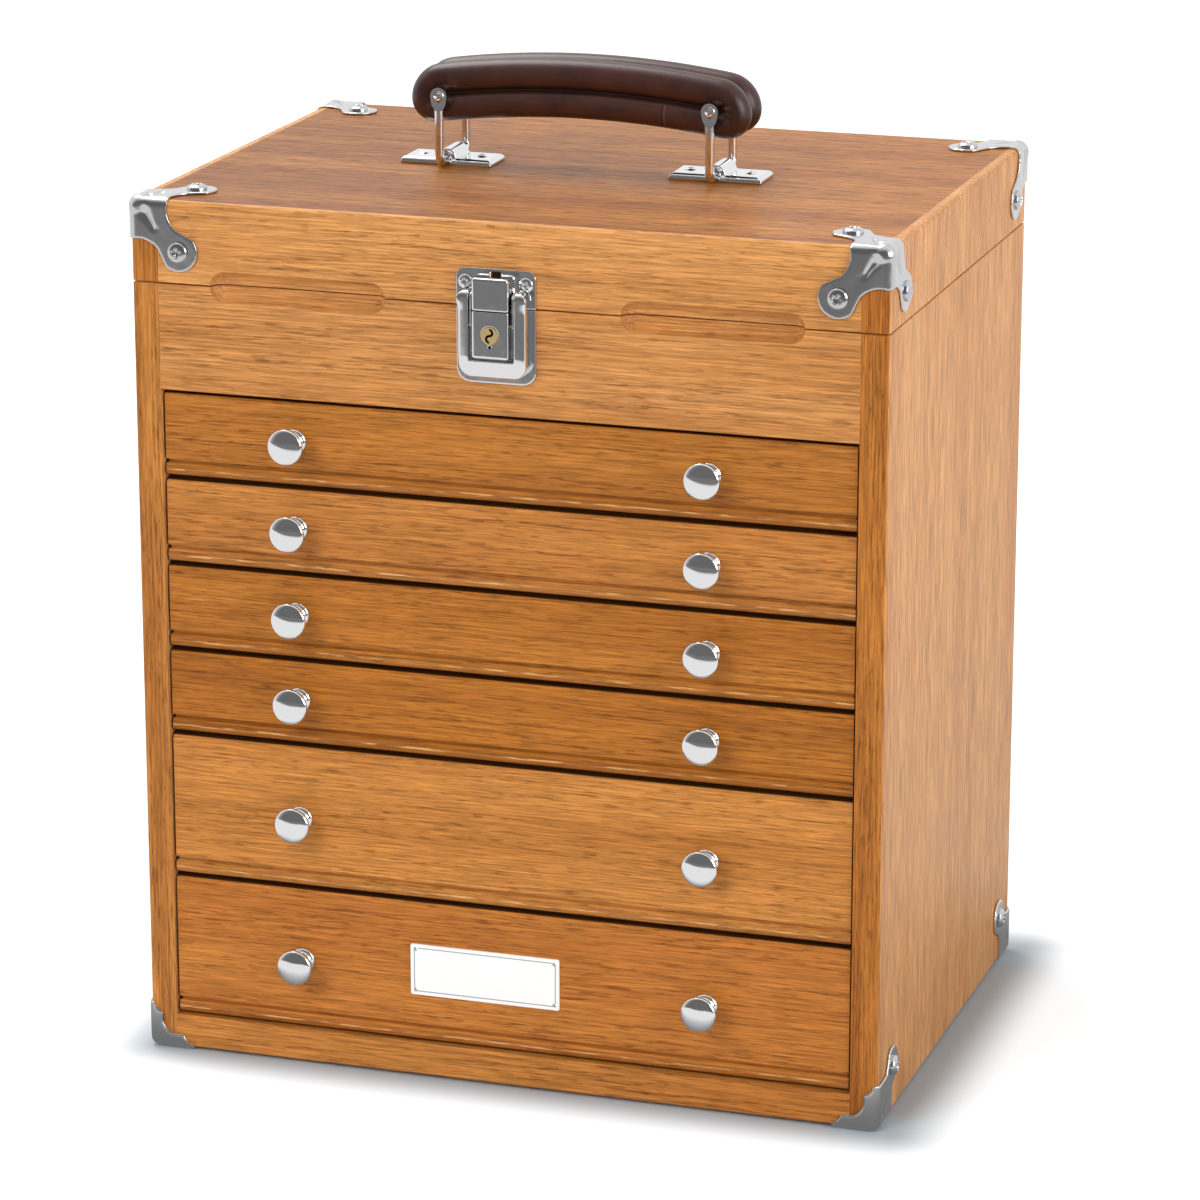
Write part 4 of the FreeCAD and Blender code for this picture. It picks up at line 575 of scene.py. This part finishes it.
for name, offset, strip_dark, strip_light in (
        ("side_left", (0.7, 0.35, 0.6), (158, 97, 41), (196, 132, 64)),
        ("side_right", (0.2, 0.05, 0.3), (142, 80, 28), (180, 114, 47)),
        ("lid_side_left", (1.2, 0.75, 0.1), (148, 86, 32), (180, 116, 50)),
        ("lid_side_right", (1.9, 0.55, 0.8), (140, 78, 26), (180, 112, 44))):
    finish_nodes(side_board(f"oak_{name}", offset, strip_dark, strip_light), name)
print("side boards done")

# %% [markdown]
# The drawer boxes and their runners are pale wood without a finish, so they don't shine.

# %% Plain inner wood
box_wood = oak_board("box_wood", TOP_GRAIN, (0.8, 0.4, 0.6), (206, 170, 124), (226, 194, 150),
                     (184, 142, 96), spacing=160, line_strength=0.2, patch=0.6, fibre=0.35, pore=0.15,
                     coat=0.0)
finish_nodes(box_wood, "drawer_runners", *[f"drawer_{n}_box" for n in range(1, 7)])


# %% [markdown]
# ## Plated metal
# The fittings are pressed or turned steel with a bright nickel plate. Plating is a mirror with a few faults:
# soft smudges that change its roughness and very shallow waves from the press. One group gives both.

# %% The plating group
plating, plating_in, plating_out = new_group(
    "plating", [("Vector", "Vector", None), ("Roughness", "Float", 0.12), ("Smudge", "Float", 0.08)],
    [("Roughness", "Float"), ("Height", "Float")])
smudges = noise(plating, plating_in["Vector"], 140.0, 4.0, 0.6)
hairlines = noise(plating, stretched(plating, plating_in["Vector"], (300, 300, 4000)), 1.0, 2.0, 0.5)
waves = noise(plating, plating_in["Vector"], 220.0, 1.0, 0.5)
smudges = times(plating, ramp_mask(plating, smudges, 0.4, 0.7), plating_in["Smudge"])
feed(plating, plating_out["Roughness"], math_node(plating, "ADD", plating_in["Roughness"], smudges))
hairlines = times(plating, hairlines, 0.05)
feed(plating, plating_out["Height"], math_node(plating, "ADD", waves, hairlines))


def metal(name, colour, roughness, smudge=0.06):
    """A plated or bare metal."""
    material, tree, shader, place = new_material(name)
    finish = add(tree, "Group", {"Vector": place, "Roughness": roughness, "Smudge": smudge},
                 node_tree=plating).outputs
    shader.inputs["Base Color"].default_value = colour
    shader.inputs["Metallic"].default_value = 1.0
    feed(tree, shader.inputs["Roughness"], finish["Roughness"])
    bumped(tree, shader, 0.2, mm(0.1), finish["Height"])
    return material


nickel = metal("nickel_satin", (0.6, 0.6, 0.61, 1), 0.17)
bright_nickel = metal("nickel_bright", (0.78, 0.78, 0.79, 1), 0.08, 0.05)
screw_nickel = metal("nickel_screw", (0.58, 0.58, 0.59, 1), 0.12, 0.05)
knob_plate = metal("knob_plate", (0.8, 0.8, 0.8, 1), 0.05, 0.05)
lock_nickel = metal("nickel_lock", (0.78, 0.78, 0.79, 1), 0.08, 0.05)
brass = metal("plug_brass", (1.0, 0.74, 0.34, 1), 0.42)
hinge_steel = metal("hinge_steel", (0.62, 0.6, 0.55, 1), 0.3)
plate_metal = metal("name_plate", (0.92, 0.92, 0.91, 1), 0.4, 0.05)
plate_metal.node_tree.nodes["Principled BSDF"].inputs["Metallic"].default_value = 0.15

# %% [markdown]
# Three of them carry a mark: painted shade makes the keyway of the brass plug dark inside, a small round
# painted shade on the lock case stands for a hole under the plug, and the bare plate has a thin border line
# along its edge.

# %% Keyway, hole and border line
border_inset = mm(1.7)
hole_drop, hole_inner, hole_outer = mm(4.9), mm(0.6), mm(0.8)
plug_low, plug_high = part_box("lock_plug")
tree, base, place = reopened(brass)
# Painted shade: the plug is near black from half a millimetre behind its face, which darkens its keyway.
painted_keyway_shade = ramp_mask(tree, split(tree, place)[1], plug_low.y + mm(0.25), plug_low.y + mm(0.5))
colour_over(tree, base, painted_keyway_shade, (0.01, 0.008, 0.006, 1))
tree, base, place = reopened(lock_nickel)
# Painted shade: a near black disc on the lock case stands for a small round hole under the plug.
hole_place = ((plug_low.x + plug_high.x) / 2, 0, (plug_low.z + plug_high.z) / 2 - hole_drop)
flat = add(tree, "VectorMath", {0: place, 1: (1, 0, 1)}, operation="MULTIPLY").outputs[0]
painted_hole_shade = ramp_mask(tree, away_from(tree, flat, hole_place), hole_inner, hole_outer, 1.0, 0.0)
colour_over(tree, base, painted_hole_shade, (0.005, 0.005, 0.005, 1))
tree, base, place = reopened(plate_metal)
plate_low, plate_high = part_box("nameplate")
parts = split(tree, place)
reaches = []
for axis in (0, 2):
    reach = off_centre(tree, parts[axis], (plate_low[axis] + plate_high[axis]) / 2)
    half = (plate_high[axis] - plate_low[axis]) / 2 - border_inset
    reaches.append(minus(tree, reach, half))
border = math_node(tree, "ABSOLUTE", math_node(tree, "MAXIMUM", *reaches))
colour_over(tree, base, ramp_mask(tree, border, mm(0.12), mm(0.35), 0.8, 0.0), (0.2, 0.2, 0.21, 1))

# %% [markdown]
# Each metal goes on its CAD nodes. Most of the plated ones are made again further down.

# %% Metals on the CAD nodes
finish_nodes(nickel, "lid_corners", "base_corners")
finish_nodes(bright_nickel, "lid_corner_screws", "base_corner_screws", "strike_plate", "strike_screws",
             "latch_screws", "latch_base", "latch_lever", "latch_pivots", "lock_case", "handle_bail_left",
             "handle_bail_right", "handle_rivet_left", "handle_rivet_right", "handle_plates",
             "handle_plate_screws", "nameplate_pins")
finish_nodes(knob_plate, *[f"drawer_{n}_knobs" for n in range(1, 7)])
finish_nodes(brass, "lock_plug")
finish_nodes(hinge_steel, "hinge_case_leaves", "hinge_lid_leaves", "hinge_pins", "hinge_case_screws",
             "hinge_lid_screws")
finish_nodes(plate_metal, "nameplate")
print("metals done")

# %% [markdown]
# Green felt lines the tray and drawers. Its nap is a fine noise in colour and height.

# %% Felt
felt, tree, shader, place = new_material("felt")
nap = noise(tree, place, 2600.0, 3.0, 0.7)
feed(tree, shader.inputs["Base Color"], blend_colour(tree, ramp_mask(tree, nap, 0.3, 0.7),
                                                     srgb(40, 62, 44), srgb(70, 98, 70)))
shader.inputs["Roughness"].default_value = 1.0
bumped(tree, shader, 0.5, mm(0.3), nap)
finish_nodes(felt, "till_felt")

# %% [markdown]
# ## Making pieces
# New pieces are built in bmesh and then become an object that rides on its body. Turned parts are a profile
# spun about an axis, then moved into place, with the place kept in the mesh. Pressed parts are a copy of the
# CAD node under one even skin, which is then smoothed.

# %% Helpers for pieces
MERGE_DISTANCE = 1e-6


def new_piece(name, form, body, material, *replaced, slot=None, smooth_below=30):
    """An object from a bmesh: faces outwards, smooth where they meet at a small angle."""
    bmesh.ops.recalc_face_normals(form, faces=form.faces[:])
    for face in form.faces:
        face.smooth = True
    for edge in form.edges:
        if len(edge.link_faces) == 2 and edge.calc_face_angle(0) > math.radians(smooth_below):
            edge.smooth = False
    mesh = bpy.data.meshes.new(name)
    form.to_mesh(mesh)
    form.free()
    mesh.materials.append(material)
    piece = linked(name, mesh)
    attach(piece, body)
    if replaced:
        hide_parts(*replaced)
    print(name, len(mesh.polygons), "faces")
    return piece


def turned(form, profile, steps, matrix):
    """Spins a profile of (radius, height) points about Z, then moves it."""
    points = [form.verts.new((radius, 0, level)) for radius, level in profile]
    edges = [form.edges.new(pair) for pair in zip(points, points[1:])]
    bmesh.ops.spin(form, geom=points + edges, cent=(0, 0, 0), axis=(0, 0, 1), dvec=(0, 0, 0),
                   angle=math.tau, steps=steps, use_merge=True)
    form.verts.index_update()
    fresh = [v for v in form.verts if not v.tag]
    bmesh.ops.remove_doubles(form, verts=fresh, dist=MERGE_DISTANCE)
    fresh = [v for v in form.verts if not v.tag]
    bmesh.ops.transform(form, matrix=matrix, verts=fresh)
    for vert in fresh:
        vert.tag = True


FACING = {"up": Matrix.Identity(4), "front": Matrix.Rotation(math.pi / 2, 4, "X"),
          "back": Matrix.Rotation(-math.pi / 2, 4, "X"), "left": Matrix.Rotation(-math.pi / 2, 4, "Y"),
          "right": Matrix.Rotation(math.pi / 2, 4, "Y")}


def merged_copy(node):
    """A bmesh of a CAD node with its doubled corners merged."""
    form = bmesh.new()
    form.from_mesh(nodes[node].data)
    bmesh.ops.remove_doubles(form, verts=form.verts[:], dist=MERGE_DISTANCE)
    return form


def islands(node):
    """The boxes of the separate solids in a CAD node."""
    form = merged_copy(node)
    waiting = set(form.verts)
    boxes = []
    while waiting:
        queue = [waiting.pop()]
        island = []
        while queue:
            vert = queue.pop()
            island.append(vert.co.copy())
            for edge in vert.link_edges:
                other = edge.other_vert(vert)
                if other in waiting:
                    waiting.remove(other)
                    queue.append(other)
        boxes.append((Vector([min(p[i] for p in island) for i in range(3)]),
                      Vector([max(p[i] for p in island) for i in range(3)])))
    form.free()
    return boxes


def fused(form, voxel, rounds):
    """The closed shapes of a bmesh as one fine even skin, softened by rounds of smoothing."""
    mesh = bpy.data.meshes.new("rough")
    form.to_mesh(mesh)
    form.free()
    rough = linked("rough", mesh)
    fuse = rough.modifiers.new("fuse", "REMESH")
    fuse.mode = "VOXEL"
    fuse.voxel_size = voxel
    skin = bpy.data.meshes.new_from_object(rough.evaluated_get(bpy.context.evaluated_depsgraph_get()))
    bpy.data.objects.remove(rough)
    form = bmesh.new()
    form.from_mesh(skin)
    for _ in range(rounds):
        bmesh.ops.smooth_vert(form, verts=form.verts[:], factor=0.5, use_axis_x=True, use_axis_y=True,
                              use_axis_z=True)
    return form


def step(value, low, high):
    """A smooth step from 0 at low to 1 at high."""
    share = min(1, max(0, (value - low) / (high - low)))
    return share * share * (3 - 2 * share)


print("piece helpers ready")

# %% [markdown]
# ## Knobs
# Each drawer has two turned and plated knobs: a flared foot, a waisted neck and a shallow domed head with a
# rounded rim. Their mirror finish shows every facet, so they are spun again here with many steps, on the axis
# and in the reach of the CAD knobs.

# %% Knobs
knob_profile = [(0, -12.2), (4.0, -12.2), (4.0, -10.0), (2.0, -10.0), (2.0, 0), (5.6, 0), (5.6, 0.8),
                (5.4, 1.25), (4.9, 1.6), (4.2, 2.0), (3.8, 2.8), (3.6, 4.2), (3.65, 6.2), (4.0, 7.4),
                (4.8, 8.3), (6.2, 8.9), (7.2, 9.5), (7.75, 10.2), (7.9, 10.9), (7.75, 11.45), (7.2, 11.9),
                (6.2, 12.4), (4.8, 12.85), (3.2, 13.2), (1.6, 13.43), (0, 13.5)]
knob_reach = mm(knob_profile[-1][1])
knob_steps = 48
for number in range(1, 7):
    form = bmesh.new()
    for low, high in islands(f"drawer_{number}_knobs"):
        face_y = low.y + knob_reach
        seat = Matrix.Translation(((low.x + high.x) / 2, face_y, (low.z + high.z) / 2)) @ FACING["front"]
        turned(form, [(mm(r), mm(h)) for r, h in knob_profile], knob_steps, seat)
    new_piece(f"drawer_{number}_turned_knobs", form, f"drawer_{number}", knob_plate, f"drawer_{number}_knobs",
              slot="knob_plate", smooth_below=50)

# %% [markdown]
# ## Pressed corners
# The corner brackets are drawn from thin sheet over a die, so nothing on them is sharp: the metal swells over
# the corner and sinks into a tapering valley on each lobe. The skin of the CAD brackets is softened, and the
# valleys of the lid's brackets are pushed in wider, from the outside only. The valley's sizes are millimetres.

# %% Pressed corners
lobe_reach = 20
valley_start, valley_run = Vector((5.6, 3.0)), Vector((5.6, 10.4))
valley_depth, valley_width, valley_taper = 0.75, 2.5, 1.9


def valley(vert, corner, along, down, out):
    """Pushes the outer skin of one lobe in along its valley. The three axes are numbers of coordinates."""
    across_mm = abs(vert.co[along] - corner[along]) * 1000
    down_mm = abs(vert.co[down] - corner[down]) * 1000
    proud = abs(vert.co[out]) - abs(corner[out])
    if proud < mm(0.5) or across_mm > lobe_reach or down_mm > lobe_reach:
        return
    place_at = Vector((across_mm, down_mm)) - valley_start
    share = place_at.dot(valley_run) / valley_run.length_squared
    off = (place_at - valley_run * share).length
    width = valley_width - valley_taper * min(1, max(0, share))
    ends = step(share, -0.2, 0.1) * (1 - step(share, 0.75, 1.1))
    vert.co[out] -= math.copysign(mm(valley_depth * ends * math.exp(-(off / width) ** 2)), vert.co[out])


form = fused(merged_copy("lid_corners"), mm(0.48), 4)
for vert in form.verts:
    corner = Vector((math.copysign(half_width, vert.co.x), back_y if vert.co.y > deck_y else front_y, crown_z))
    for axes in ((0, 2, 1), (1, 2, 0), (0, 1, 2)):
        valley(vert, corner, *axes)
new_piece("lid_pressed_corners", form, "lid", nickel, "lid_corners", slot="plated", smooth_below=80)
form = fused(merged_copy("base_corners"), mm(0.5), 4)
new_piece("base_pressed_corners", form, "case", nickel, "base_corners", slot="plated", smooth_below=80)

# %% [markdown]
# ## Pressed latch
# The latch is pressed from thicker sheet, with rounded edges that catch the light. The lever is flat along its
# side bars and rolls away at its outline, and its bottom bar slopes back over its whole width, so the depth of
# its skin is scaled by the distance from the outline.

# %% Pressed latch and plates
lever_low, lever_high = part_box("latch_lever")
form = fused(merged_copy("latch_lever"), mm(0.3), 4)
corner_radius = mm(5.6)
rolled_edge = mm(1.7)
rolled_share = 0.28
bar_slope, side_slope = mm(10.5), mm(5)
side_share, slope_share, slope_power = 0.35, 0.45, 1.8
hood_low, hood_high = lever_high.z - mm(9), lever_high.z - mm(4)
for vert in form.verts:
    inset_x = min(vert.co.x - lever_low.x, lever_high.x - vert.co.x)
    inset_z = vert.co.z - lever_low.z
    inset = min(inset_x, inset_z)
    if inset_x < corner_radius and inset_z < corner_radius:
        inset = corner_radius - math.hypot(corner_radius - inset_x, corner_radius - inset_z)
    edge_fall = 1 - min(1, max(0, inset / rolled_edge))
    slope_z = max(0, 1 - inset_z / bar_slope)
    slope_x = max(0, 1 - inset_x / side_slope)
    slope_fall = min(1, math.hypot(slope_z, side_share * slope_x))
    rolled = 1 - rolled_share + rolled_share * math.sqrt(max(0, 1 - edge_fall ** 2))
    depth_share = rolled * (1 - slope_share * slope_fall ** slope_power)
    depth_share += (1 - depth_share) * step(vert.co.z, hood_low, hood_high)
    vert.co.y = lever_high.y + (vert.co.y - lever_high.y) * depth_share
new_piece("pressed_lever", form, "lever", bright_nickel, "latch_lever", slot="plated", smooth_below=80)
for name, node, body, voxel, plate in (
        ("pressed_latch_base", "latch_base", "case", 0.3, bright_nickel),
        ("pressed_lock_case", "lock_case", "case", 0.19, lock_nickel),
        ("pressed_strike", "strike_plate", "lid", 0.3, bright_nickel),
        ("pressed_handle_plates", "handle_plates", "lid", 0.3, bright_nickel)):
    form = fused(merged_copy(node), mm(voxel), 3)
    new_piece(name, form, body, plate, node, slot="plated", smooth_below=80)

# %% [markdown]
# ## Screw heads
# The fittings are held by oval headed cross recess screws. Each head is a spun dome with the cross pushed down
# into it, turned to an angle of its own, on the place and in the height of the CAD screw.

# %% Screw heads
dome_rings = 18
screw_steps = 40
shank_share, head_share, dome_share = 0.35, 0.52, 0.85
first_turn, next_turn = 20, 37


def screw(form, low, high, facing, number, recess):
    """One spun screw with a cross recess."""
    middle = (low + high) / 2
    axis = {"front": 1, "back": 1, "left": 0, "right": 0, "up": 2}[facing]
    top = low[axis] if facing in ("front", "left") else high[axis]
    middle[axis] = top
    length = high[axis] - low[axis]
    radius = max(high[i] - low[i] for i in range(3) if i != axis) / 2
    head = radius * head_share
    shank = radius * shank_share
    profile = [(0, -length), (shank, -length), (shank, -head), (radius, -head)]
    for ring in range(dome_rings + 1):
        share = 1 - ring / dome_rings
        profile.append((radius * share, -head * dome_share * (1 - math.sqrt(1 - (share * 0.97) ** 2))))
    before = set(form.verts)
    turned(form, profile, screw_steps, Matrix.Identity(4))
    fresh = [vert for vert in form.verts if vert not in before]
    spin_angle = math.radians(next_turn * number + first_turn)
    for vert in fresh:
        x, y, z = vert.co
        u = abs(x * math.cos(spin_angle) + y * math.sin(spin_angle))
        v = abs(y * math.cos(spin_angle) - x * math.sin(spin_angle))
        cross = [(1 - step(side, radius * 0.1, radius * 0.2)) * (1 - step(run, radius * 0.42, radius * 0.52))
                 for side, run in ((u, v), (v, u))]
        if z > -head * 0.7:
            vert.co.z -= max(cross) * recess * radius * (1 - 0.6 * math.hypot(x, y) / (radius * 0.5))
    bmesh.ops.transform(form, matrix=Matrix.Translation(middle) @ FACING[facing], verts=fresh)


def facing_of(low, high):
    """The side of the chest that a screw looks out of."""
    reach = {"front": front_y - low.y, "back": high.y - back_y, "left": -half_width - low.x,
             "right": high.x - half_width, "up": high.z - crown_z}
    return max(reach, key=reach.get)


for node, body, recess, metal_used in (
        ("lid_corner_screws", "lid", 0.35, screw_nickel), ("base_corner_screws", "case", 0.35, screw_nickel),
        ("strike_screws", "lid", 0.4, bright_nickel), ("handle_plate_screws", "lid", 0.4, bright_nickel)):
    form = bmesh.new()
    places = sorted(islands(node), key=lambda pair: [round(value, 4) for value in pair[0]])
    for number, (low, high) in enumerate(places):
        screw(form, low, high, facing_of(low, high), number, recess)
    new_piece(f"{node}_turned", form, body, metal_used, node, slot="plated", smooth_below=50)

# %% [markdown]
# ## Handle eyes and rivets
# The wire of each bail is hammered flat at its eyes, which makes the eye longer than wide. The CAD eyes are
# round discs, so a copy of each bail has the lower half of its eyes drawn down the wire. The rivet heads are
# flat rings with a sunk middle.

# %% Handle eyes and rivets
rivet_steps = 32
eye_radius, eye_stretch, wire_blend = mm(3.6), mm(2.6), mm(15)
for side in ("left", "right"):
    rivet_low, rivet_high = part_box(f"handle_rivet_{side}")
    centre = (rivet_low + rivet_high) / 2
    form = merged_copy(f"handle_bail_{side}")
    for vert in form.verts:
        drop = centre.z - vert.co.z
        if drop > 0:
            vert.co.z -= eye_stretch * step(drop, 0, eye_radius) * (1 - step(drop, eye_radius, wire_blend))
    new_piece(f"flattened_bail_{side}", form, f"bail_{side}", bright_nickel, f"handle_bail_{side}",
              slot="plated")
    form = bmesh.new()
    half = (rivet_high.y - rivet_low.y) / 2
    head = (rivet_high.x - rivet_low.x) / 2
    rise = min(mm(1.2), half * 0.1)
    outer = [(head * out, half - rise * down) for out, down in
             ((0, 0.9), (0.42, 0.9), (0.5, 0.2), (0.62, 0), (0.86, 0.15), (1, 0.7), (1, 1), (0.5, 1))]
    profile = [(radius, -level) for radius, level in outer] + outer[::-1]
    turned(form, profile, rivet_steps, Matrix.Translation(centre) @ FACING["front"])
    new_piece(f"turned_rivet_{side}", form, f"bail_{side}", bright_nickel, f"handle_rivet_{side}",
              slot="plated", smooth_below=40)

# %% [markdown]
# ## Grip
# The grip is a stuffed leather roll that goes round in a loop: an upper run, a lower run and two round ends,
# made twice, once in front and once behind. It could be a simulated cushion, but a tightly stuffed roll keeps
# its round section, so the rolls are spun from a circle, along the runs and round the ends. They are fused by a
# voxel remesh into one skin and then worked over like clay: the bow of the whole grip, the crease between the
# runs and the puckers round the rivets.

# %% The rolls of the grip
grip_low, grip_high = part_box("handle_grip")
eye_left, eye_right = [(low + high) / 2 for low, high in
                       (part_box("handle_rivet_left"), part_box("handle_rivet_right"))]
eye_z = eye_left.z
grip_middle = (eye_left.x + eye_right.x) / 2
half_span = (eye_right.x - eye_left.x) / 2
roll = mm(6.6)
run_gap = mm(6.2)
roll_depth = mm(7.5)
core_depth, core_height = mm(16), mm(11)
roll_sides, run_steps, end_steps = 28, 40, 14
end_place = (grip_high.x - grip_low.x) / 2 - roll - run_gap
bow = grip_high.z - eye_z - roll - run_gap
form = bmesh.new()
for depth in (-roll_depth, roll_depth):
    ring = bmesh.ops.create_circle(form, cap_ends=False, segments=roll_sides, radius=roll)["verts"]
    bmesh.ops.rotate(form, cent=(0, 0, 0), matrix=Matrix.Rotation(math.pi / 2, 3, "Y"), verts=ring)
    bmesh.ops.translate(form, vec=(-end_place, depth, run_gap), verts=ring)
    edges = list({edge for vert in ring for edge in vert.link_edges})
    last = ring + edges
    for sign in (1, -1):
        last = bmesh.ops.spin(form, geom=last, cent=(0, 0, 0), axis=(0, 1, 0), angle=0, steps=run_steps,
                              dvec=(sign * 2 * end_place / run_steps, 0, 0))["geom_last"]
        last = bmesh.ops.spin(form, geom=last, cent=(sign * end_place, depth, 0), axis=(0, 1, 0),
                              dvec=(0, 0, 0), angle=math.pi, steps=end_steps)["geom_last"]
bmesh.ops.remove_doubles(form, verts=form.verts[:], dist=1e-5)
core = bmesh.ops.create_cube(form, size=1)["verts"]
bmesh.ops.scale(form, vec=(end_place * 2 + mm(4), core_depth, core_height), verts=core)
bmesh.ops.recalc_face_normals(form, faces=form.faces[:])
print("rolls", len(form.verts), "verts")

# %% [markdown]
# The leather is dark brown with a fine pebble in the bump. Painted shade makes it darkest in the crease between
# the runs, and it has a pale seam along the front of the upper run and a butt seam across the lower one.

# %% Leather
leather, tree, shader, place = new_material("grip_leather")
pebble = noise(tree, place, 900.0, 3.0, 0.6)
tone = blend_colour(tree, ramp_mask(tree, noise(tree, place, 60.0, 3.0, 0.6), 0.3, 0.7),
                    srgb(46, 22, 16), srgb(64, 32, 24))
parts = split(tree, place)
# Painted shade: the colour darkens along the bowed line of the crease between the runs.
share = math_node(tree, "DIVIDE", minus(tree, parts[0], grip_middle), half_span)
arc = minus(tree, 1.0, times(tree, share, share))
rise = minus(tree, minus(tree, parts[2], eye_z), times(tree, arc, bow))
painted_crease_shade = ramp_mask(tree, math_node(tree, "ABSOLUTE", rise), mm(0.4), mm(2.0), 0.75, 0.0)
painted_crease_shade = times(tree, painted_crease_shade, ramp_mask(tree, math_node(tree, "ABSOLUTE", share), 0.9, 1.05, 1.0, 0.0))
tone = blend_colour(tree, painted_crease_shade, tone, srgb(12, 6, 4))
seam = off_centre(tree, parts[1], deck_y - roll_depth + mm(1.1))
seam = times(tree, ramp_mask(tree, seam, mm(0.15), mm(0.5), 0.55, 0.0), ramp_mask(tree, rise, mm(-4), mm(-1)))
tone = blend_colour(tree, seam, tone, srgb(136, 104, 92))
below = ramp_mask(tree, rise, mm(-2.0), mm(-0.8), 1.0, 0.0)
butt_place = grip_middle + half_span * 0.64
for shift, strength, colour in ((-0.2, 0.8, (10, 5, 4)), (0.45, 0.35, (120, 90, 80))):
    mark = off_centre(tree, parts[0], butt_place + mm(shift))
    mark = times(tree, ramp_mask(tree, mark, mm(0.15), mm(0.45), strength, 0.0), below)
    tone = blend_colour(tree, mark, tone, srgb(*colour))
feed(tree, shader.inputs["Base Color"], tone)
shader.inputs["Roughness"].default_value = 0.36
bumped(tree, shader, 0.3, mm(0.2), pebble)
finish_nodes(leather, "handle_grip")

# %% [markdown]
# The fused skin is shaped vertex by vertex while it is still straight, and is moved to its place last. The
# dimples and puckers only touch the outer skin in front and behind.

# %% Fuse and shape the grip
dimple_reach, dimple_depth = mm(4.5), mm(1.4)
fold_ring, fold_width, fold_depth = mm(5.5), mm(2.4), mm(0.75)
outer_skin = mm(6)
pucker_count, pucker_drift = 13, 1.2
form = fused(form, mm(0.7), 4)
for vert in form.verts:
    x, y, z = vert.co
    side = 1 if x > 0 else -1
    away = Vector((x - side * half_span, z))
    reach = away.length
    dimple = math.exp(-(reach / dimple_reach) ** 2)
    angle = math.atan2(away.y, away.x * side)
    pucker = 0.5 + 0.5 * math.cos(angle * pucker_count + math.sin(angle * 5) * pucker_drift)
    fold = math.exp(-((reach - fold_ring) / fold_width) ** 2) * max(0, math.cos(angle * 0.6)) * pucker
    if abs(y) > outer_skin:
        y -= math.copysign(dimple_depth * dimple + fold_depth * fold, y)
    z *= 1.03 if z > 0 else 0.97
    z += bow * (1 - (x / half_span) ** 2)
    vert.co = Vector((grip_middle + x, deck_y + y, eye_z + z))
grip = new_piece("stuffed_grip", form, "grip", leather, "handle_grip", slot="grip_leather", smooth_below=80)

# %% [markdown]
# ## Drawer felts
# The bottom of each drawer is lined with felt. It only shows when the drawer is open, so it is a plain inset
# slab with a rounded edge, resting on the drawer's bottom between its boards.

# %% Drawer felts
felt_thickness, felt_lift, felt_bevel = mm(1.2), mm(6), mm(0.5)
spare_width, spare_length, box_back_half = mm(17), mm(9), mm(4)
for number in range(1, 7):
    low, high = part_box(f"drawer_{number}_box")
    form = bmesh.new()
    slab = bmesh.ops.create_cube(form, size=1)["verts"]
    middle = low.z + felt_lift + felt_thickness / 2
    bmesh.ops.scale(form, verts=slab,
                    vec=(high.x - low.x - spare_width, high.y - low.y - spare_length, felt_thickness))
    bmesh.ops.translate(form, verts=slab, vec=(0, (low.y + high.y) / 2 - box_back_half, middle))
    rim = [edge for edge in form.edges if all(vert.co.z > middle for vert in edge.verts)]
    bmesh.ops.bevel(form, geom=rim, offset=felt_bevel, offset_type="OFFSET", affect="EDGES", segments=2,
                    profile=0.5, material=-1)
    new_piece(f"drawer_{number}_felt", form, f"drawer_{number}", felt, slot="felt")
